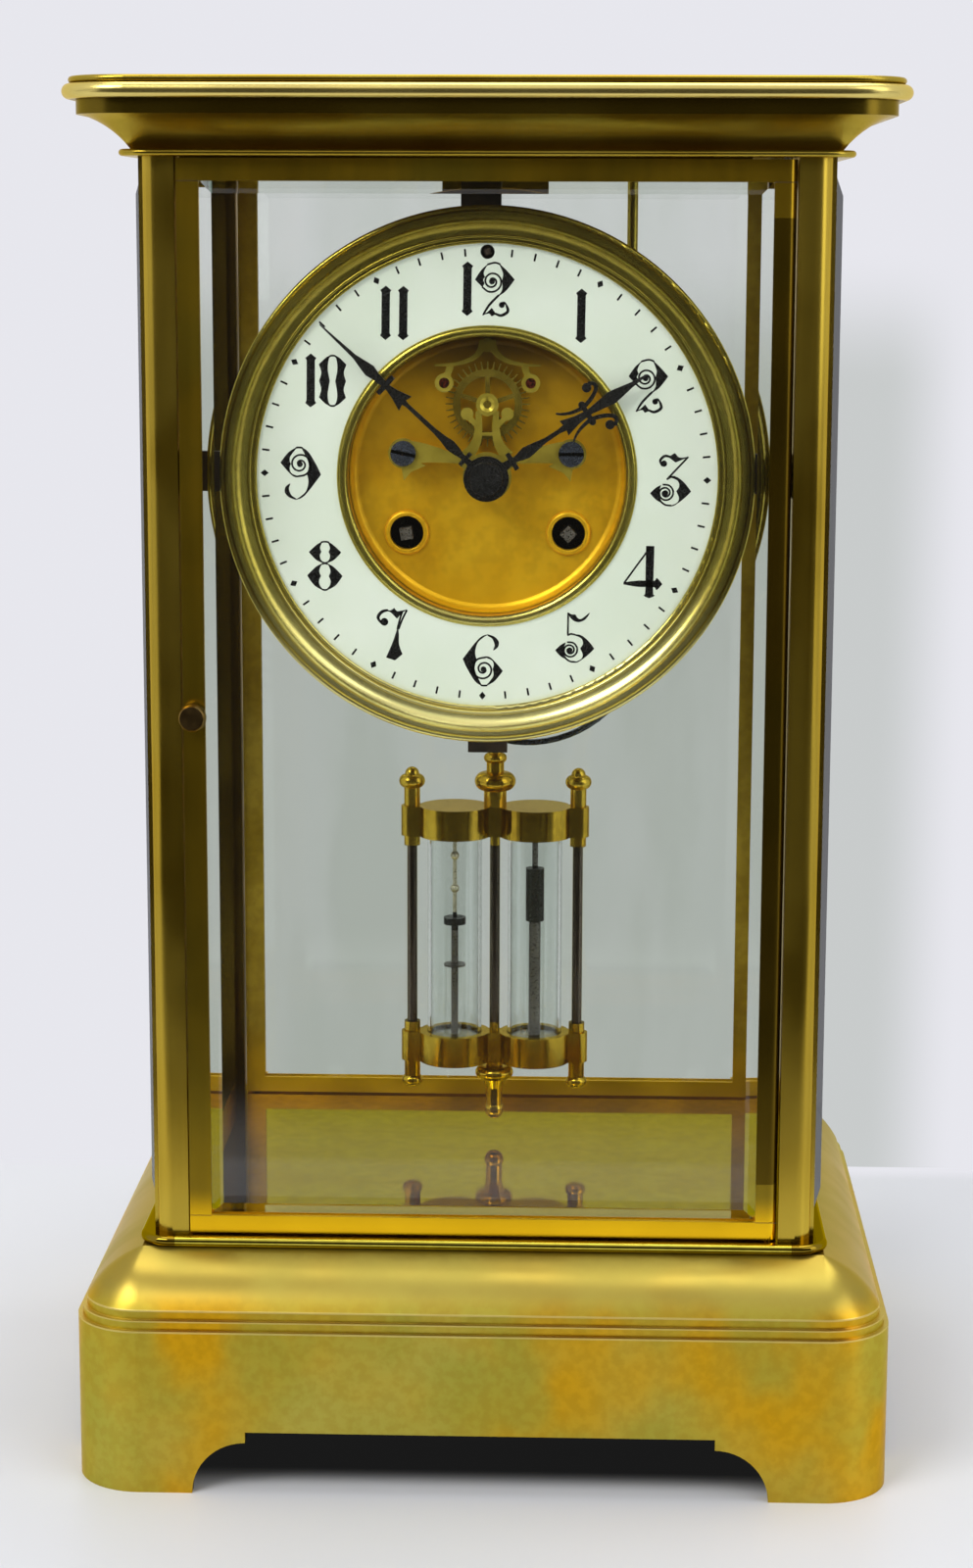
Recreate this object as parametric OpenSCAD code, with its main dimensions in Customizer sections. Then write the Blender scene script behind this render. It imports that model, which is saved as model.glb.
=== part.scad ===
// Four-glass mantel clock with a visible escapement, a two-jar pendulum and a coiled gong.
// Frame: origin under the middle of the base, +Z up, the dial faces -Y, +X to the viewer's right.

/* [Case] */
// Width over the corner posts
case_w = 144.4; // [140:0.2:160]
// Depth over the corner posts
case_d = 119.6; // [118:0.2:140]
// Height of the corner posts
post_h = 231; // [228:0.5:260]
// Side of a post's square section
post_w = 8; // [7.6:0.1:9]
// Radius of a post's outer corner
post_r = 4.4; // [3:0.1:5]
// Depth of the quirk beside the round corner
post_step = 0.8; // [0.4:0.1:1]
// Radius of the tie rods inside the posts
tie_r = 1.5; // [1:0.1:1.8]
// Height of a tie nut
nut_h = 3; // [2:0.5:4]
// Corner radius of a six-sided tie nut
nut_r = 3.4; // [3:0.1:3.8]

/* [Base] */
// How far the plinth stands out beyond the posts
base_out = 16.2; // [15.5:0.1:20]
// Height of the base under the lower plate
base_h = 51; // [49:0.5:60]
// Corner radius of the plinth
base_r = 14.5; // [14:0.1:15.4]
// Height of the upright plinth wall
plinth_h = 36.5; // [32:0.5:38]
// Height of each of the two bands over the wall
band_h = 2; // [1:0.1:2.5]
// Step inwards at each band
band_in = 1; // [0.5:0.1:1.5]
// Bulge of the cushion slope over its chord
slope_bulge = 1.5; // [0.5:0.1:2]
// Thickness of the plinth wall
base_wall = 3; // [2:0.1:4]
// Thickness of the deck that carries the case
deck_t = 4.5; // [3:0.1:5]
// Width of the deck's rim
deck_rim = 22; // [16:1:30]
// Half length of the high part of the front arch
arch_half = 50.6; // [40:0.2:56]
// Height of the foot arches
arch_h = 14; // [12:0.2:18]
// Radius of the quarter round on each bracket foot
foot_r = 11.6; // [9:0.2:11.8]

/* [Plates and cornice] */
// Thickness of the lower plate, the case floor
floor_t = 2.2; // [1.8:0.1:3]
// How far the lower plate stands out beyond the posts
floor_out = 3; // [2:0.1:4]
// Thickness of the upper plate
ceil_t = 1.4; // [1.2:0.1:2.5]
// How far the upper plate stands out beyond the posts
ceil_out = 3.7; // [2:0.1:5]
// Corner radius of both plates
plate_r = 6.5; // [5:0.1:8]
// Height of the cornice moulding
cornice_h = 13; // [12:0.1:16]
// How far the cornice stands out beyond the posts
cornice_out = 14.7; // [14.4:0.1:18]
// Corner radius of the cornice
cornice_r = 14.5; // [14:0.1:14.7]
// Height of the hollow moulding under the fillet
cavetto_h = 6.8; // [6:0.1:7.4]
// Radius of the hollow moulding
cavetto_r = 20; // [14:1:40]
// Height of the fillet
fillet_h = 3; // [2.4:0.1:3.2]
// Thickness of the cornice's inner deck
cornice_deck = 2.5; // [2:0.1:3]
// Thickness of the top plate
top_t = 1.4; // [1:0.1:2.5]
// Set back of the top plate from the cornice's edge
top_in = 1.4; // [1:0.1:3]

/* [Side glasses] */
// Thickness of a side frame
side_t = 5; // [4.5:0.1:6]
// Set back of a side frame from the posts' outer face
side_set = 1.2; // [0.8:0.1:1.8]
// Width of a side frame's members
side_member = 5; // [4.4:0.1:7]
// How far the glass seats over the frame
side_seat = 2.5; // [1.5:0.1:3]
// Depth of the seat in the frame
side_rebate = 1.6; // [1:0.1:2.5]
// Thickness of a side glass
side_glass_t = 5; // [4:0.1:6]
// Width of the bevel on the side glasses
side_bevel_w = 5; // [3:0.1:8]
// Depth of the bevel on the side glasses
side_bevel_d = 2.2; // [1:0.1:3]

/* [Doors] */
// Thickness of a door frame
door_t = 6; // [5.6:0.1:7]
// Gap between a door and the posts
door_gap = 0.3; // [0.25:0.05:0.6]
// Gap between a door and the plates
door_lift = 0.4; // [0.3:0.05:0.8]
// Width of the stiles
stile_w = 4.7; // [4.2:0.1:6]
// Height of the top rail
top_rail = 4.6; // [4:0.1:6]
// Height of the bottom rail
bottom_rail = 3.8; // [3.6:0.1:6]
// Thickness of the lip in front of the glass
door_lip = 1.2; // [0.8:0.1:1.4]
// Depth of the groove that holds the glass
groove = 1.7; // [1:0.1:2]
// Thickness of a door glass
door_glass_t = 4; // [3:0.1:4]
// Width of the bevel on the door glasses
door_bevel_w = 4.1; // [2.5:0.1:6]
// Depth of the bevel on the door glasses
door_bevel_d = 1.6; // [0.8:0.1:2.4]
// Clearance round every glass
glass_clear = 0.1; // [0.05:0.05:0.3]
// Distance of a hinge pin from the door's two faces
hinge_in = 2; // [1.8:0.1:2.2]
// Radius of a hinge pin
hinge_r = 0.9; // [0.7:0.05:1]
// How far a hinge pin reaches into the rail
hinge_reach = 3; // [2:0.5:3.4]
// How far a hinge pin reaches into a plate
hinge_seat = 1.1; // [0.8:0.1:1.1]
// Height of the door knobs over the case floor
knob_h = 114.6; // [60:0.5:180]
// Radius of a door knob
knob_r = 3; // [2:0.1:4]
// How far a door knob stands out
knob_out = 4.6; // [3:0.1:6]
// Radius of a knob's neck and shank
knob_neck = 1.3; // [1:0.1:1.6]

/* [Dial] */
// Height of the hands' centre over the case floor
dial_h = 164.4; // [158:0.2:168]
// Set back of the enamel's face from the case front
dial_set = 14.3; // [14:0.1:18]
// Thickness of the enamel ring
enamel_t = 1.5; // [1:0.1:2]
// Width of the bezel's wall outside the enamel
bezel_band = 7; // [6:0.1:7.6]
// Inner radius of the enamel ring
enamel_in = 31.5; // [31:0.1:32]
// Outer radius of the bezel
bezel_r = 57; // [56:0.1:57.4]
// Width of the bezel's face
bezel_face = 8; // [7.8:0.1:8.6]
// How far the bezel stands in front of the enamel
bezel_rise = 4; // [3.6:0.1:4.4]
// Inner radius of the ring round the centre
centre_ring_in = 29.7; // [29.5:0.1:30]
// How far that ring laps over the enamel
centre_ring_lap = 0.5; // [0.2:0.1:1]
// Height of that ring over the enamel
centre_ring_rise = 0.8; // [0.5:0.1:1.2]
// Depth of the centre below the enamel's back
pan_depth = 4.5; // [4.3:0.1:6]
// Thickness of the pan's floor
pan_t = 1.5; // [1:0.1:2]
// Radius of the winding holes
wind_hole_r = 3.6; // [3.2:0.1:4]
// Radius of the raised collar round a winding hole
wind_collar_r = 4.8; // [4.4:0.1:5.4]
// Height of that collar
wind_collar_h = 0.9; // [0.8:0.1:1.2]
// Radius of the curve at the pan's edge
pan_cove_r = 2.5; // [1.8:0.1:3]
// Height of that curve
pan_cove_h = 1.2; // [0.6:0.1:1.4]
// Distance of the regulating arbor from the enamel's edge
rate_edge = 2.7; // [2.6:0.1:3]
// Radius of the hole in the enamel for the regulating key
rate_hole_r = 1.5; // [1.3:0.1:1.6]

/* [Movement] */
// Set back of the ring that carries the movement from the bezel's edge
ring_set = 1.5; // [1:0.1:3]
// Inner radius of that ring
ring_in = 36; // [35:0.5:37]
// Thickness of that ring
ring_t = 4.5; // [4.4:0.1:6]
// Width of the ring's hanger and brackets
strap_w = 8.6; // [7:0.1:10]
// Thickness of the hanger and brackets
strap_t = 2.5; // [2:0.1:2.5]
// Shift of the top hanger to the left
hanger_shift = 1.8; // [0:0.1:3]
// Length of the hanger's foot under the upper plate
hanger_foot = 12; // [8:0.5:16]
// Thickness of the brackets' side feet
bracket_foot_t = 1.6; // [1.2:0.1:1.8]
// Radius of the movement plates
plate_disc_r = 41.5; // [41:0.1:42]
// Thickness of a movement plate
plate_t = 2.5; // [2:0.1:3]
// Clear distance between the movement plates
plate_gap = 33; // [33:0.1:38]
// Radius of a movement pillar
pillar_r = 2.6; // [2:0.1:3]
// Distance of the pillars from the hands' centre
pillar_at = 37; // [36:0.1:37.5]
// Radius of the plate screws' heads
screw_head_r = 2.2; // [1.6:0.1:2.4]
// Height of the plate screws' heads
screw_head_h = 1.2; // [0.8:0.1:1.6]
// Radius of the wheel arbors
arbor_r = 0.8; // [0.6:0.05:0.9]
// Running clearance of an arbor in its hole
run_fit = 0.05; // [0.02:0.01:0.1]
// Thickness of the train wheels
wheel_t = 0.9; // [0.7:0.05:1]

/* [Winding] */
// Sideways place of the winding arbors
wind_x = 17.4; // [17.3:0.05:17.6]
// Place of the winding arbors under the hands' centre
wind_down = 12.4; // [12.2:0.05:12.6]
// Radius of the winding arbors
wind_r = 2.2; // [1.8:0.1:2.4]
// Side of the winding squares
wind_square = 2.6; // [2:0.1:3]
// Radius of the ratchet wheels
ratchet_r = 5.8; // [4:0.1:6.4]
// Outer radius of a barrel's drum
drum_r = 15; // [14:0.1:15.4]
// Length of a barrel's drum
drum_len = 18; // [16:0.5:19]
// Wall of a drum
drum_wall = 1; // [0.8:0.1:1.4]
// Thickness of a mainspring's ribbon
ribbon_t = 0.35; // [0.25:0.05:0.5]
// Turns of a mainspring
ribbon_turns = 7; // [5:1:9]

/* [Escapement] */
// Height of the escape arbor over the hands' centre
escape_up = 15.3; // [15.2:0.05:15.4]
// Radius over the escape wheel's teeth
escape_r = 9; // [8.4:0.1:9]
// Outer radius of the escape wheel's rim
escape_rim = 7.4; // [7:0.1:7.6]
// Number of escape teeth
escape_teeth = 40; // [36:1:44]
// Height of the pallet arbor over the hands' centre
pallet_up = 27.8; // [27.6:0.1:28]
// Sideways place of the pallet stones
stone_x = 9.2; // [9.1:0.05:9.4]
// Height of the pallet stones over the hands' centre
stone_up = 19.8; // [19.6:0.05:20]
// Radius of the pallet stones' bosses
stone_boss_r = 2; // [1.6:0.1:2.2]
// Radius of a stone's working pin
stone_r = 0.45; // [0.3:0.05:0.5]
// Sideways place of the bridge screws
bridge_x = 17.9; // [17.5:0.1:18.3]
// Height of the bridge screws over the hands' centre
bridge_up = 4.87; // [4.6:0.05:5.2]
// Thickness of the escapement bridge
bridge_t = 0.8; // [0.6:0.1:1]
// Radius of the bridge screws' heads
bridge_head_r = 2.7; // [2.2:0.1:3]

/* [Hands] */
// Distance of the minute hand's tip from the enamel's edge
minute_short = 2.4; // [1.6:0.1:6]
// Distance of the hour hand's tip from the enamel's edge
hour_short = 9.7; // [8:0.1:16]
// Thickness of a hand
hand_t = 0.8; // [0.6:0.1:1]
// Direction of the minute hand, clockwise from 12
minute_at = 312.5; // [0:0.5:360]
// Direction of the hour hand, clockwise from 12
hour_at = 57; // [0:0.5:360]
// Radius of the hand nut
hand_nut_r = 4.8; // [4:0.1:5.4]
// Height of the hand nut
hand_nut_h = 2.4; // [1.6:0.1:2.6]

/* [Pendulum] */
// Distance of the pendulum behind the back plate
pend_set = 15.5; // [15:0.5:18]
// Radius of the pendulum's upper rod
pend_rod_r = 1.6; // [1.2:0.1:1.8]
// Radius of the rods between the bars
jar_rod_r = 1.2; // [0.9:0.05:1.4]
// Height of the lower bar's underside over the case floor
bob_h = 18.7; // [16:0.1:22]
// Thickness of each bar
bar_t = 7.2; // [6:0.1:10]
// Clear height between the bars
jar_h = 48; // [44:0.5:50]
// Half distance between the jars
jar_x = 9.6; // [9.2:0.1:10]
// Outer radius of a jar
jar_r = 6.5; // [6:0.1:7]
// Wall of a jar
jar_wall = 0.8; // [0.6:0.1:1.2]
// How far a jar seats in the bars
jar_seat = 1.5; // [1:0.1:2.5]
// Margin of the bars round a jar
jar_margin = 2; // [1.6:0.1:2.4]
// Sideways place of the side rods
side_rod_x = 19.8; // [19.6:0.1:20.4]
// Radius of the bars' ends
bar_end_r = 2.6; // [2.4:0.1:3]
// Radius of the knop over the upper bar
knop_r = 4.9; // [4:0.1:5.4]
// Radius of the balls on the side rods
ball_r = 3.1; // [2.4:0.1:3.4]
// Radius of the finial under the lower bar
finial_r = 4.6; // [4:0.1:5]
// Length of that finial
finial_len = 14.7; // [11:0.1:16]

/* [Gong and hammer] */
// Distance of the gong behind the pendulum
gong_set = 14.5; // [14:0.5:17]
// Sideways place of the coil's centre
gong_x = 6.5; // [4:0.5:8]
// Place of the coil's centre under the hands' centre
gong_down = 42.9; // [41:0.1:46]
// Radius of the coil's outer turn
gong_r = 28.5; // [27:0.5:30]
// Step of the coil at each turn
gong_step = 4.2; // [3:0.1:5]
// Turns of the coil
gong_turns = 3.5; // [2:0.5:4.5]
// Radius of the gong's wire
wire_r = 0.75; // [0.5:0.05:0.9]
// Sideways place of the gong's rod
gong_rod_x = 31.4; // [30:0.1:33]
// Distance of the gong's rod behind the coil
gong_rod_back = 4.6; // [4.2:0.1:6]
// Radius of the gong's rod
gong_rod_r = 1.25; // [1:0.05:2]
// Height of the gong's block
block_h = 9.5; // [7:0.5:12]
// Depth of the gong's block
block_d = 7; // [5:0.5:8]
// Sideways place of the hammer arbor
hammer_x = 31; // [30:0.5:32]
// Height of the hammer arbor over the hands' centre
hammer_up = 12; // [11:0.5:14]
// Radius of the hammer's head
hammer_r = 3; // [2.4:0.1:4]
// Length of the hammer's head
hammer_len = 8; // [6:0.5:10]
// Gap between the hammer's head and the gong
hammer_gap = 0.7; // [0.4:0.1:1.2]

/* [Hidden] */
$fn = 64;
// Small overrun of a cutting shape past the face that it cuts
over = 1;
// Clear distance kept between pieces that pass each other
gap = 0.3;
// Clearance of a fixed pin or screw in its hole
fixed_fit = 0.02;

// Heights of the case
floor_z = base_h + floor_t;
ceil_z = floor_z + post_h;
cornice_z = ceil_z + ceil_t;
top_z = cornice_z + cornice_h;
dial_z = floor_z + dial_h;

// Half sizes of the case
half_w = case_w / 2;
half_d = case_d / 2;
post_mid_x = half_w - post_w / 2;
post_mid_y = half_d - post_w / 2;
side_in_x = half_w - side_set - side_t;

// Radii and lengths that follow the bezel
enamel_r = bezel_r - bezel_band;
bezel_in = bezel_r - bezel_face;
rate_up = enamel_r - rate_edge;
ring_r = bezel_r - ring_set;
minute_len = enamel_r - minute_short;
hour_len = enamel_r - hour_short;

// Depths of the movement, measured forwards from the middle of the case
enamel_f = half_d - dial_set;
seat_f = enamel_f - enamel_t;
pan_f = seat_f - pan_depth;
ring_f = pan_f - pan_t;
front_plate_f = ring_f - ring_t;
train_f = front_plate_f - plate_t;
back_plate_f = train_f - plate_gap;
back_f = back_plate_f - plate_t;
pend_y = pend_set - back_f;
gong_y = pend_y + gong_set;
gong_rod_y = gong_y + gong_rod_back;

// Levels of the hands and the escapement
hour_lift = 1.9;
hand_apart = 0.6;
escape_lift = 2;
layer_apart = 0.4;
anchor_t = 0.9;
hour_f = enamel_f + hour_lift;
minute_f = hour_f + hand_t + hand_apart;
nut_f = minute_f + hand_t;
escape_f = pan_f + escape_lift;
anchor_f = escape_f + wheel_t + layer_apart;
anchor_top = anchor_f + anchor_t;
bridge_f = anchor_f + layer_apart;

// Levels of the train, measured from the front plate's back and from the back plate's front
barrel_set = 4;
intermediate_lift = 6.5;
centre_lift = 3.4;
third_lift = 1.2;
going_ring_f = train_f - barrel_set;
drum_f = going_ring_f - drum_len;
ring_len = 2;
strike_ring_f = drum_f - ring_len;
intermediate_f = back_plate_f + intermediate_lift;
centre_wheel_f = back_plate_f + centre_lift;
third_wheel_f = back_plate_f + third_lift;
pinion_len = 2.4;
// Share of a plate's thickness that an arbor's end fills
pivot_share = 0.8;

// Places of the arbors, across and up from the hands' centre
going_at = [wind_x, -wind_down];
strike_at = [-wind_x, -wind_down];
intermediate_at = [14.5, 6];
third_at = [-9, 8];
escape_at = [0, escape_up];
pallet_at = [0, pallet_up];
minute_wheel_at = [0, -10.5];
pin_wheel_at = [-20.6, 5.95];
hammer_at = [-hammer_x, hammer_up];
rate_at = [0, rate_up];
pillar_angles = [35, 125, 250, 290];

// Teeth of the wheels and leaves of the pinions
barrel_teeth = 84;
barrel_leaves = 9;
intermediate_teeth = 72;
centre_leaves = 8;
centre_teeth = 80;
third_leaves = 8;
third_teeth = 84;
escape_leaves = 7;
cannon_leaves = 14;
minute_teeth = 42;
minute_leaves = 12;
hour_teeth = 48;
pin_teeth = 56;

// Shape of a tooth: addendum and dedendum in modules, half widths in pitches
tooth_add = 0.5;
tooth_ded = 0.9;
tooth_tip = 0.11;
tooth_root = 0.27;
leaf_tip = 0.09;
leaf_root = 0.23;

pivot_z = dial_z + pallet_up;

function dist(a, b) = norm(b - a);
function angle_to(a, b) = atan2(b[1] - a[1], b[0] - a[0]);
function module_of(a, b, n, m) = 2 * dist(a, b) / (n + m);

barrel_mod = module_of(going_at, intermediate_at, barrel_teeth, barrel_leaves);
intermediate_mod = module_of(intermediate_at, [0, 0], intermediate_teeth, centre_leaves);
centre_mod = module_of([0, 0], third_at, centre_teeth, third_leaves);
third_mod = module_of(third_at, escape_at, third_teeth, escape_leaves);
cannon_mod = module_of([0, 0], minute_wheel_at, cannon_leaves, minute_teeth);
hour_mod = module_of([0, 0], minute_wheel_at, minute_leaves, hour_teeth);
pin_mod = module_of(strike_at, pin_wheel_at, barrel_teeth, barrel_leaves);

// Outline of a gear with its first tooth at the given angle
function gear_points(teeth, mod, start, tip, root) = [
  for (i = [0 : teeth - 1])
    for (k = [[-root, -tooth_ded], [-tip, tooth_add], [tip, tooth_add], [root, -tooth_ded]])
      let (a = start + (i + k[0]) * 360 / teeth, r = (teeth / 2 + k[1]) * mod)
        [r * cos(a), r * sin(a)]
];

// Outline of a ribbon along a path, with its own width at each point
function heading(p, i) = let (d = p[min(i + 1, len(p) - 1)] - p[max(i - 1, 0)]) d / norm(d);
function side_points(p, w, s) = [
  for (i = [0 : len(p) - 1])
    let (h = heading(p, i)) p[i] + s * w[i] / 2 * [-h[1], h[0]]
];
function reversed(p) = [for (i = [len(p) - 1 : -1 : 0]) p[i]];
function ribbon(p, w) = concat(side_points(p, w, 1), reversed(side_points(p, w, -1)));

// Widths of a ribbon of n steps that tapers from w0 to w1
function taper(w0, w1, n) = [for (i = [0 : n]) w0 + (w1 - w0) * i / n];

// Points of a cubic curve from a to d
function curve(a, b, c, d, n) = [
  for (i = [0 : n])
    let (t = i / n, u = 1 - t) u * u * u * a + 3 * u * u * t * b + 3 * u * t * t * c + t * t * t * d
];

// Outline that is alike on both sides of its axis, from pairs of height and half width
function leaf_outline(s) = concat(
  [for (p = s) [p[1], p[0]]], [for (p = reversed(s)) [-p[1], p[0]]]
);

// Centre of an arc of radius r through a and b that bulges to the right of the way from a to b
function arc_centre(a, b, r) =
  let (m = (a + b) / 2, d = b - a, n = [d[1], -d[0]] / norm(d)) m - n * sqrt(r * r - d * d / 4);
function bulge_radius(a, b, s) = (d2(a, b) / 4 + s * s) / (2 * s);
function d2(a, b) = (b - a) * (b - a);

// Puts its children in the dial's own frame: across, up from the hands' centre and forwards
module at_dial(f = 0) {
  translate([0, -f, dial_z]) rotate([90, 0, 0]) children();
}

// Round bar of radius r from depth f0 forwards to f1, at a place on the dial
module dial_bar(place, r, f0, f1) {
  at_dial(f0) translate(place) cylinder(h = f1 - f0, r = r);
}

// Sweeps a profile round a rounded rectangle; the profile's x is measured from the corner centres
module sweep(w, d, r) {
  sx = w / 2 - r;
  sy = d / 2 - r;
  for (k = [0 : 3]) {
    quarter = [[sx, sy], [-sx, sy], [-sx, -sy], [sx, -sy]][k];
    translate(quarter) rotate(90 * k) rotate_extrude(angle = 90) children();
    rotate(90 * k)
      translate([k % 2 == 0 ? sx : sy, 0, 0])
        rotate([90, 0, 0])
          linear_extrude(2 * (k % 2 == 0 ? sy : sx), center = true) children();
  }
}

// Flat plate with round corners and a half-round edge
module bull_plate(w, d, t, r) {
  sweep(w, d, r) {
    square([r - t / 2, t]);
    translate([r - t / 2, t / 2]) circle(t / 2);
  }
  translate([-(w / 2 - r), -(d / 2 - r), 0]) cube([w - 2 * r, d - 2 * r, t]);
}

// Repeats its children at the four posts
module at_posts() {
  for (x = [-1, 1]) for (y = [-1, 1]) translate([x * post_mid_x, y * post_mid_y, 0]) children();
}

module tie_holes(z0, z1) {
  at_posts() translate([0, 0, z0]) cylinder(h = z1 - z0, r = tie_r + fixed_fit);
}

// Upright wall of the base, its two bands and the cushion slope, as a section
module base_section() {
  wall_top = base_r - 2 * band_in;
  slope_foot = [wall_top, plinth_h + 2 * band_h];
  slope_head = [base_r - base_out + floor_out - band_in, base_h];
  slope_r = bulge_radius(slope_foot, slope_head, slope_bulge);
  difference() {
    union() {
      square([base_r, plinth_h]);
      square([base_r - band_in, plinth_h + band_h]);
      square([wall_top, plinth_h + 2 * band_h]);
      intersection() {
        square([wall_top, base_h]);
        translate(arc_centre(slope_foot, slope_head, slope_r)) circle(slope_r, $fn = 128);
      }
    }
    polygon([
      [-over, -over], [base_r - base_wall, -over], [base_r - base_wall, plinth_h - base_wall],
      [0, base_h - deck_t], [-over, base_h - deck_t]
    ]);
  }
}

module arch_outline(half) {
  translate([-half, -over]) square([2 * half, arch_h + over]);
  for (s = [-1, 1]) translate([s * half, 0]) circle(foot_r);
}

module base_plinth() {
  w = case_w + 2 * base_out;
  d = case_d + 2 * base_out;
  color("goldenrod") difference() {
    union() {
      sweep(w, d, base_r) base_section();
      difference() {
        translate([base_r - w / 2, base_r - d / 2, base_h - deck_t])
          cube([w - 2 * base_r, d - 2 * base_r, deck_t]);
        translate([deck_rim - half_w, deck_rim - half_d, base_h - deck_t - over])
          cube([case_w - 2 * deck_rim, case_d - 2 * deck_rim, deck_t + 2 * over]);
      }
    }
    rotate([90, 0, 0]) linear_extrude(d + 2 * over, center = true) arch_outline(arch_half);
    rotate([90, 0, 90])
      linear_extrude(w + 2 * over, center = true) arch_outline(arch_half - (w - d) / 2);
    tie_holes(base_h - deck_t - over, base_h + over);
  }
}

// Holes for the hinge pins of both doors
module hinge_holes(z0, z1) {
  for (s = [-1, 1])
    translate([s * hinge_x, -s * hinge_y, z0]) cylinder(h = z1 - z0, r = hinge_r + run_fit);
}

module lower_plate() {
  color("gold") difference() {
    translate([0, 0, base_h])
      bull_plate(case_w + 2 * floor_out, case_d + 2 * floor_out, floor_t, plate_r);
    tie_holes(base_h - over, floor_z + over);
    hinge_holes(floor_z - hinge_seat - gap, floor_z + over);
  }
}

// Rib under the upper plate that a door's top rail closes against, clear of the hinge
module door_stop() {
  stop_t = 1.6;
  stop_h = 3;
  hinge_room = 9;
  translate([-door_half, door_t + gap - half_d, ceil_z - stop_h])
    cube([2 * door_half - hinge_room, stop_t, stop_h + ceil_t / 2]);
}

module upper_plate() {
  color("darkgoldenrod") difference() {
    union() {
      translate([0, 0, ceil_z])
        bull_plate(case_w + 2 * ceil_out, case_d + 2 * ceil_out, ceil_t, plate_r);
      for (turn = [0, 180]) rotate(turn) door_stop();
    }
    tie_holes(ceil_z - over, cornice_z + over);
    hinge_holes(ceil_z - over, ceil_z + hinge_seat + gap / 2);
    translate([gong_rod_x, gong_rod_y, ceil_z - over])
      cylinder(h = ceil_t + 2 * over, r = gong_rod_r + fixed_fit);
    hanger_screw_hole(ceil_z - over, cornice_z + over);
  }
}

// Section of a post: a square with a quirked round at its outer corner, which is at +X +Y
module post_section() {
  m = post_w / 2;
  difference() {
    square(post_w, center = true);
    translate([m - post_r, m - post_r]) square(post_r + over);
  }
  translate([m - post_r, m - post_r]) intersection() {
    circle(post_r - post_step);
    square(post_r);
  }
}

module corner_posts() {
  color("peru") difference() {
    for (x = [0, 1]) for (y = [0, 1])
      mirror([x, 0, 0]) mirror([0, y, 0])
        translate([post_mid_x, post_mid_y, floor_z]) linear_extrude(post_h) post_section();
    tie_holes(floor_z - over, ceil_z + over);
  }
}

// Section of the cornice: hollow moulding, fillet and torus
module cornice_section() {
  foot_set = 0.85;
  fillet_set = 2.9;
  cavetto_set = 1;
  shell = 1.5;
  torus_r = (cornice_h - cavetto_h - fillet_h) / 2;
  fillet_x = cornice_r - fillet_set;
  foot = [cornice_r - cornice_out + foot_set, 0];
  head = [fillet_x - cavetto_set, cavetto_h];
  difference() {
    union() {
      difference() {
        polygon([[0, 0], foot, head, [0, cavetto_h]]);
        translate(arc_centre(head, foot, cavetto_r)) circle(cavetto_r, $fn = 128);
      }
      translate([0, cavetto_h]) square([fillet_x, fillet_h]);
      translate([0, cavetto_h + fillet_h]) square([cornice_r - torus_r, 2 * torus_r]);
      translate([cornice_r - torus_r, cornice_h - torus_r]) circle(torus_r);
    }
    polygon([
      [-over, cornice_deck], [shell, cornice_deck], [head[0] - 2 * shell, cavetto_h + cavetto_set],
      [head[0] - shell, cornice_h + over], [-over, cornice_h + over]
    ]);
  }
}

module cornice() {
  w = case_w + 2 * cornice_out;
  d = case_d + 2 * cornice_out;
  color("darkgoldenrod") difference() {
    translate([0, 0, cornice_z]) {
      sweep(w, d, cornice_r) cornice_section();
      difference() {
        translate([cornice_r - w / 2, cornice_r - d / 2, 0])
          cube([w - 2 * cornice_r, d - 2 * cornice_r, cornice_deck]);
        translate([deck_rim - half_w, deck_rim - half_d, -over])
          cube([case_w - 2 * deck_rim, case_d - 2 * deck_rim, cornice_deck + 2 * over]);
      }
    }
    tie_holes(cornice_z - over, cornice_z + cornice_deck + over);
    translate([gong_rod_x, gong_rod_y, cornice_z - over])
      cylinder(h = cornice_deck + 2 * over, r = nut_r + gap);
  }
}

module top_plate() {
  out = cornice_out - top_in;
  color("goldenrod") translate([0, 0, top_z])
    bull_plate(case_w + 2 * out, case_d + 2 * out, top_t, cornice_r - top_in);
}

module tie_nut(z) {
  translate([0, 0, z]) difference() {
    cylinder(h = nut_h, r = nut_r, $fn = 6);
    translate([0, 0, -over]) cylinder(h = nut_h + 2 * over, r = tie_r + fixed_fit);
  }
}

module tie_bolts() {
  low = base_h - deck_t - nut_h;
  high = cornice_z + cornice_deck;
  color("dimgray") at_posts() {
    translate([0, 0, low - over]) cylinder(h = high + nut_h + over - low + over, r = tie_r);
    tie_nut(low);
    tie_nut(high);
  }
}

// Plate with bevelled edges on its front; across, up and back from its front face
module bevelled_plate(w, h, t, bevel_w, bevel_d) {
  intersection() {
    linear_extrude(h, center = true) bevel_outline(w, t, bevel_w, bevel_d);
    rotate([0, 90, 0])
      linear_extrude(w, center = true) rotate(90) mirror([1, 0]) rotate(90) mirror([1, 0])
        bevel_outline(h, t, bevel_w, bevel_d);
  }
}

module bevel_outline(w, t, bevel_w, bevel_d) {
  polygon([
    [-w / 2, t], [w / 2, t], [w / 2, bevel_d], [w / 2 - bevel_w, 0],
    [bevel_w - w / 2, 0], [-w / 2, bevel_d]
  ]);
}

side_half = half_d - post_w - fixed_fit;
side_open_y = side_half - side_member;
side_open_z0 = floor_z + side_member;
side_open_z1 = ceil_z - side_member;
side_seat_x = half_w - side_set - side_rebate;

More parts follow.
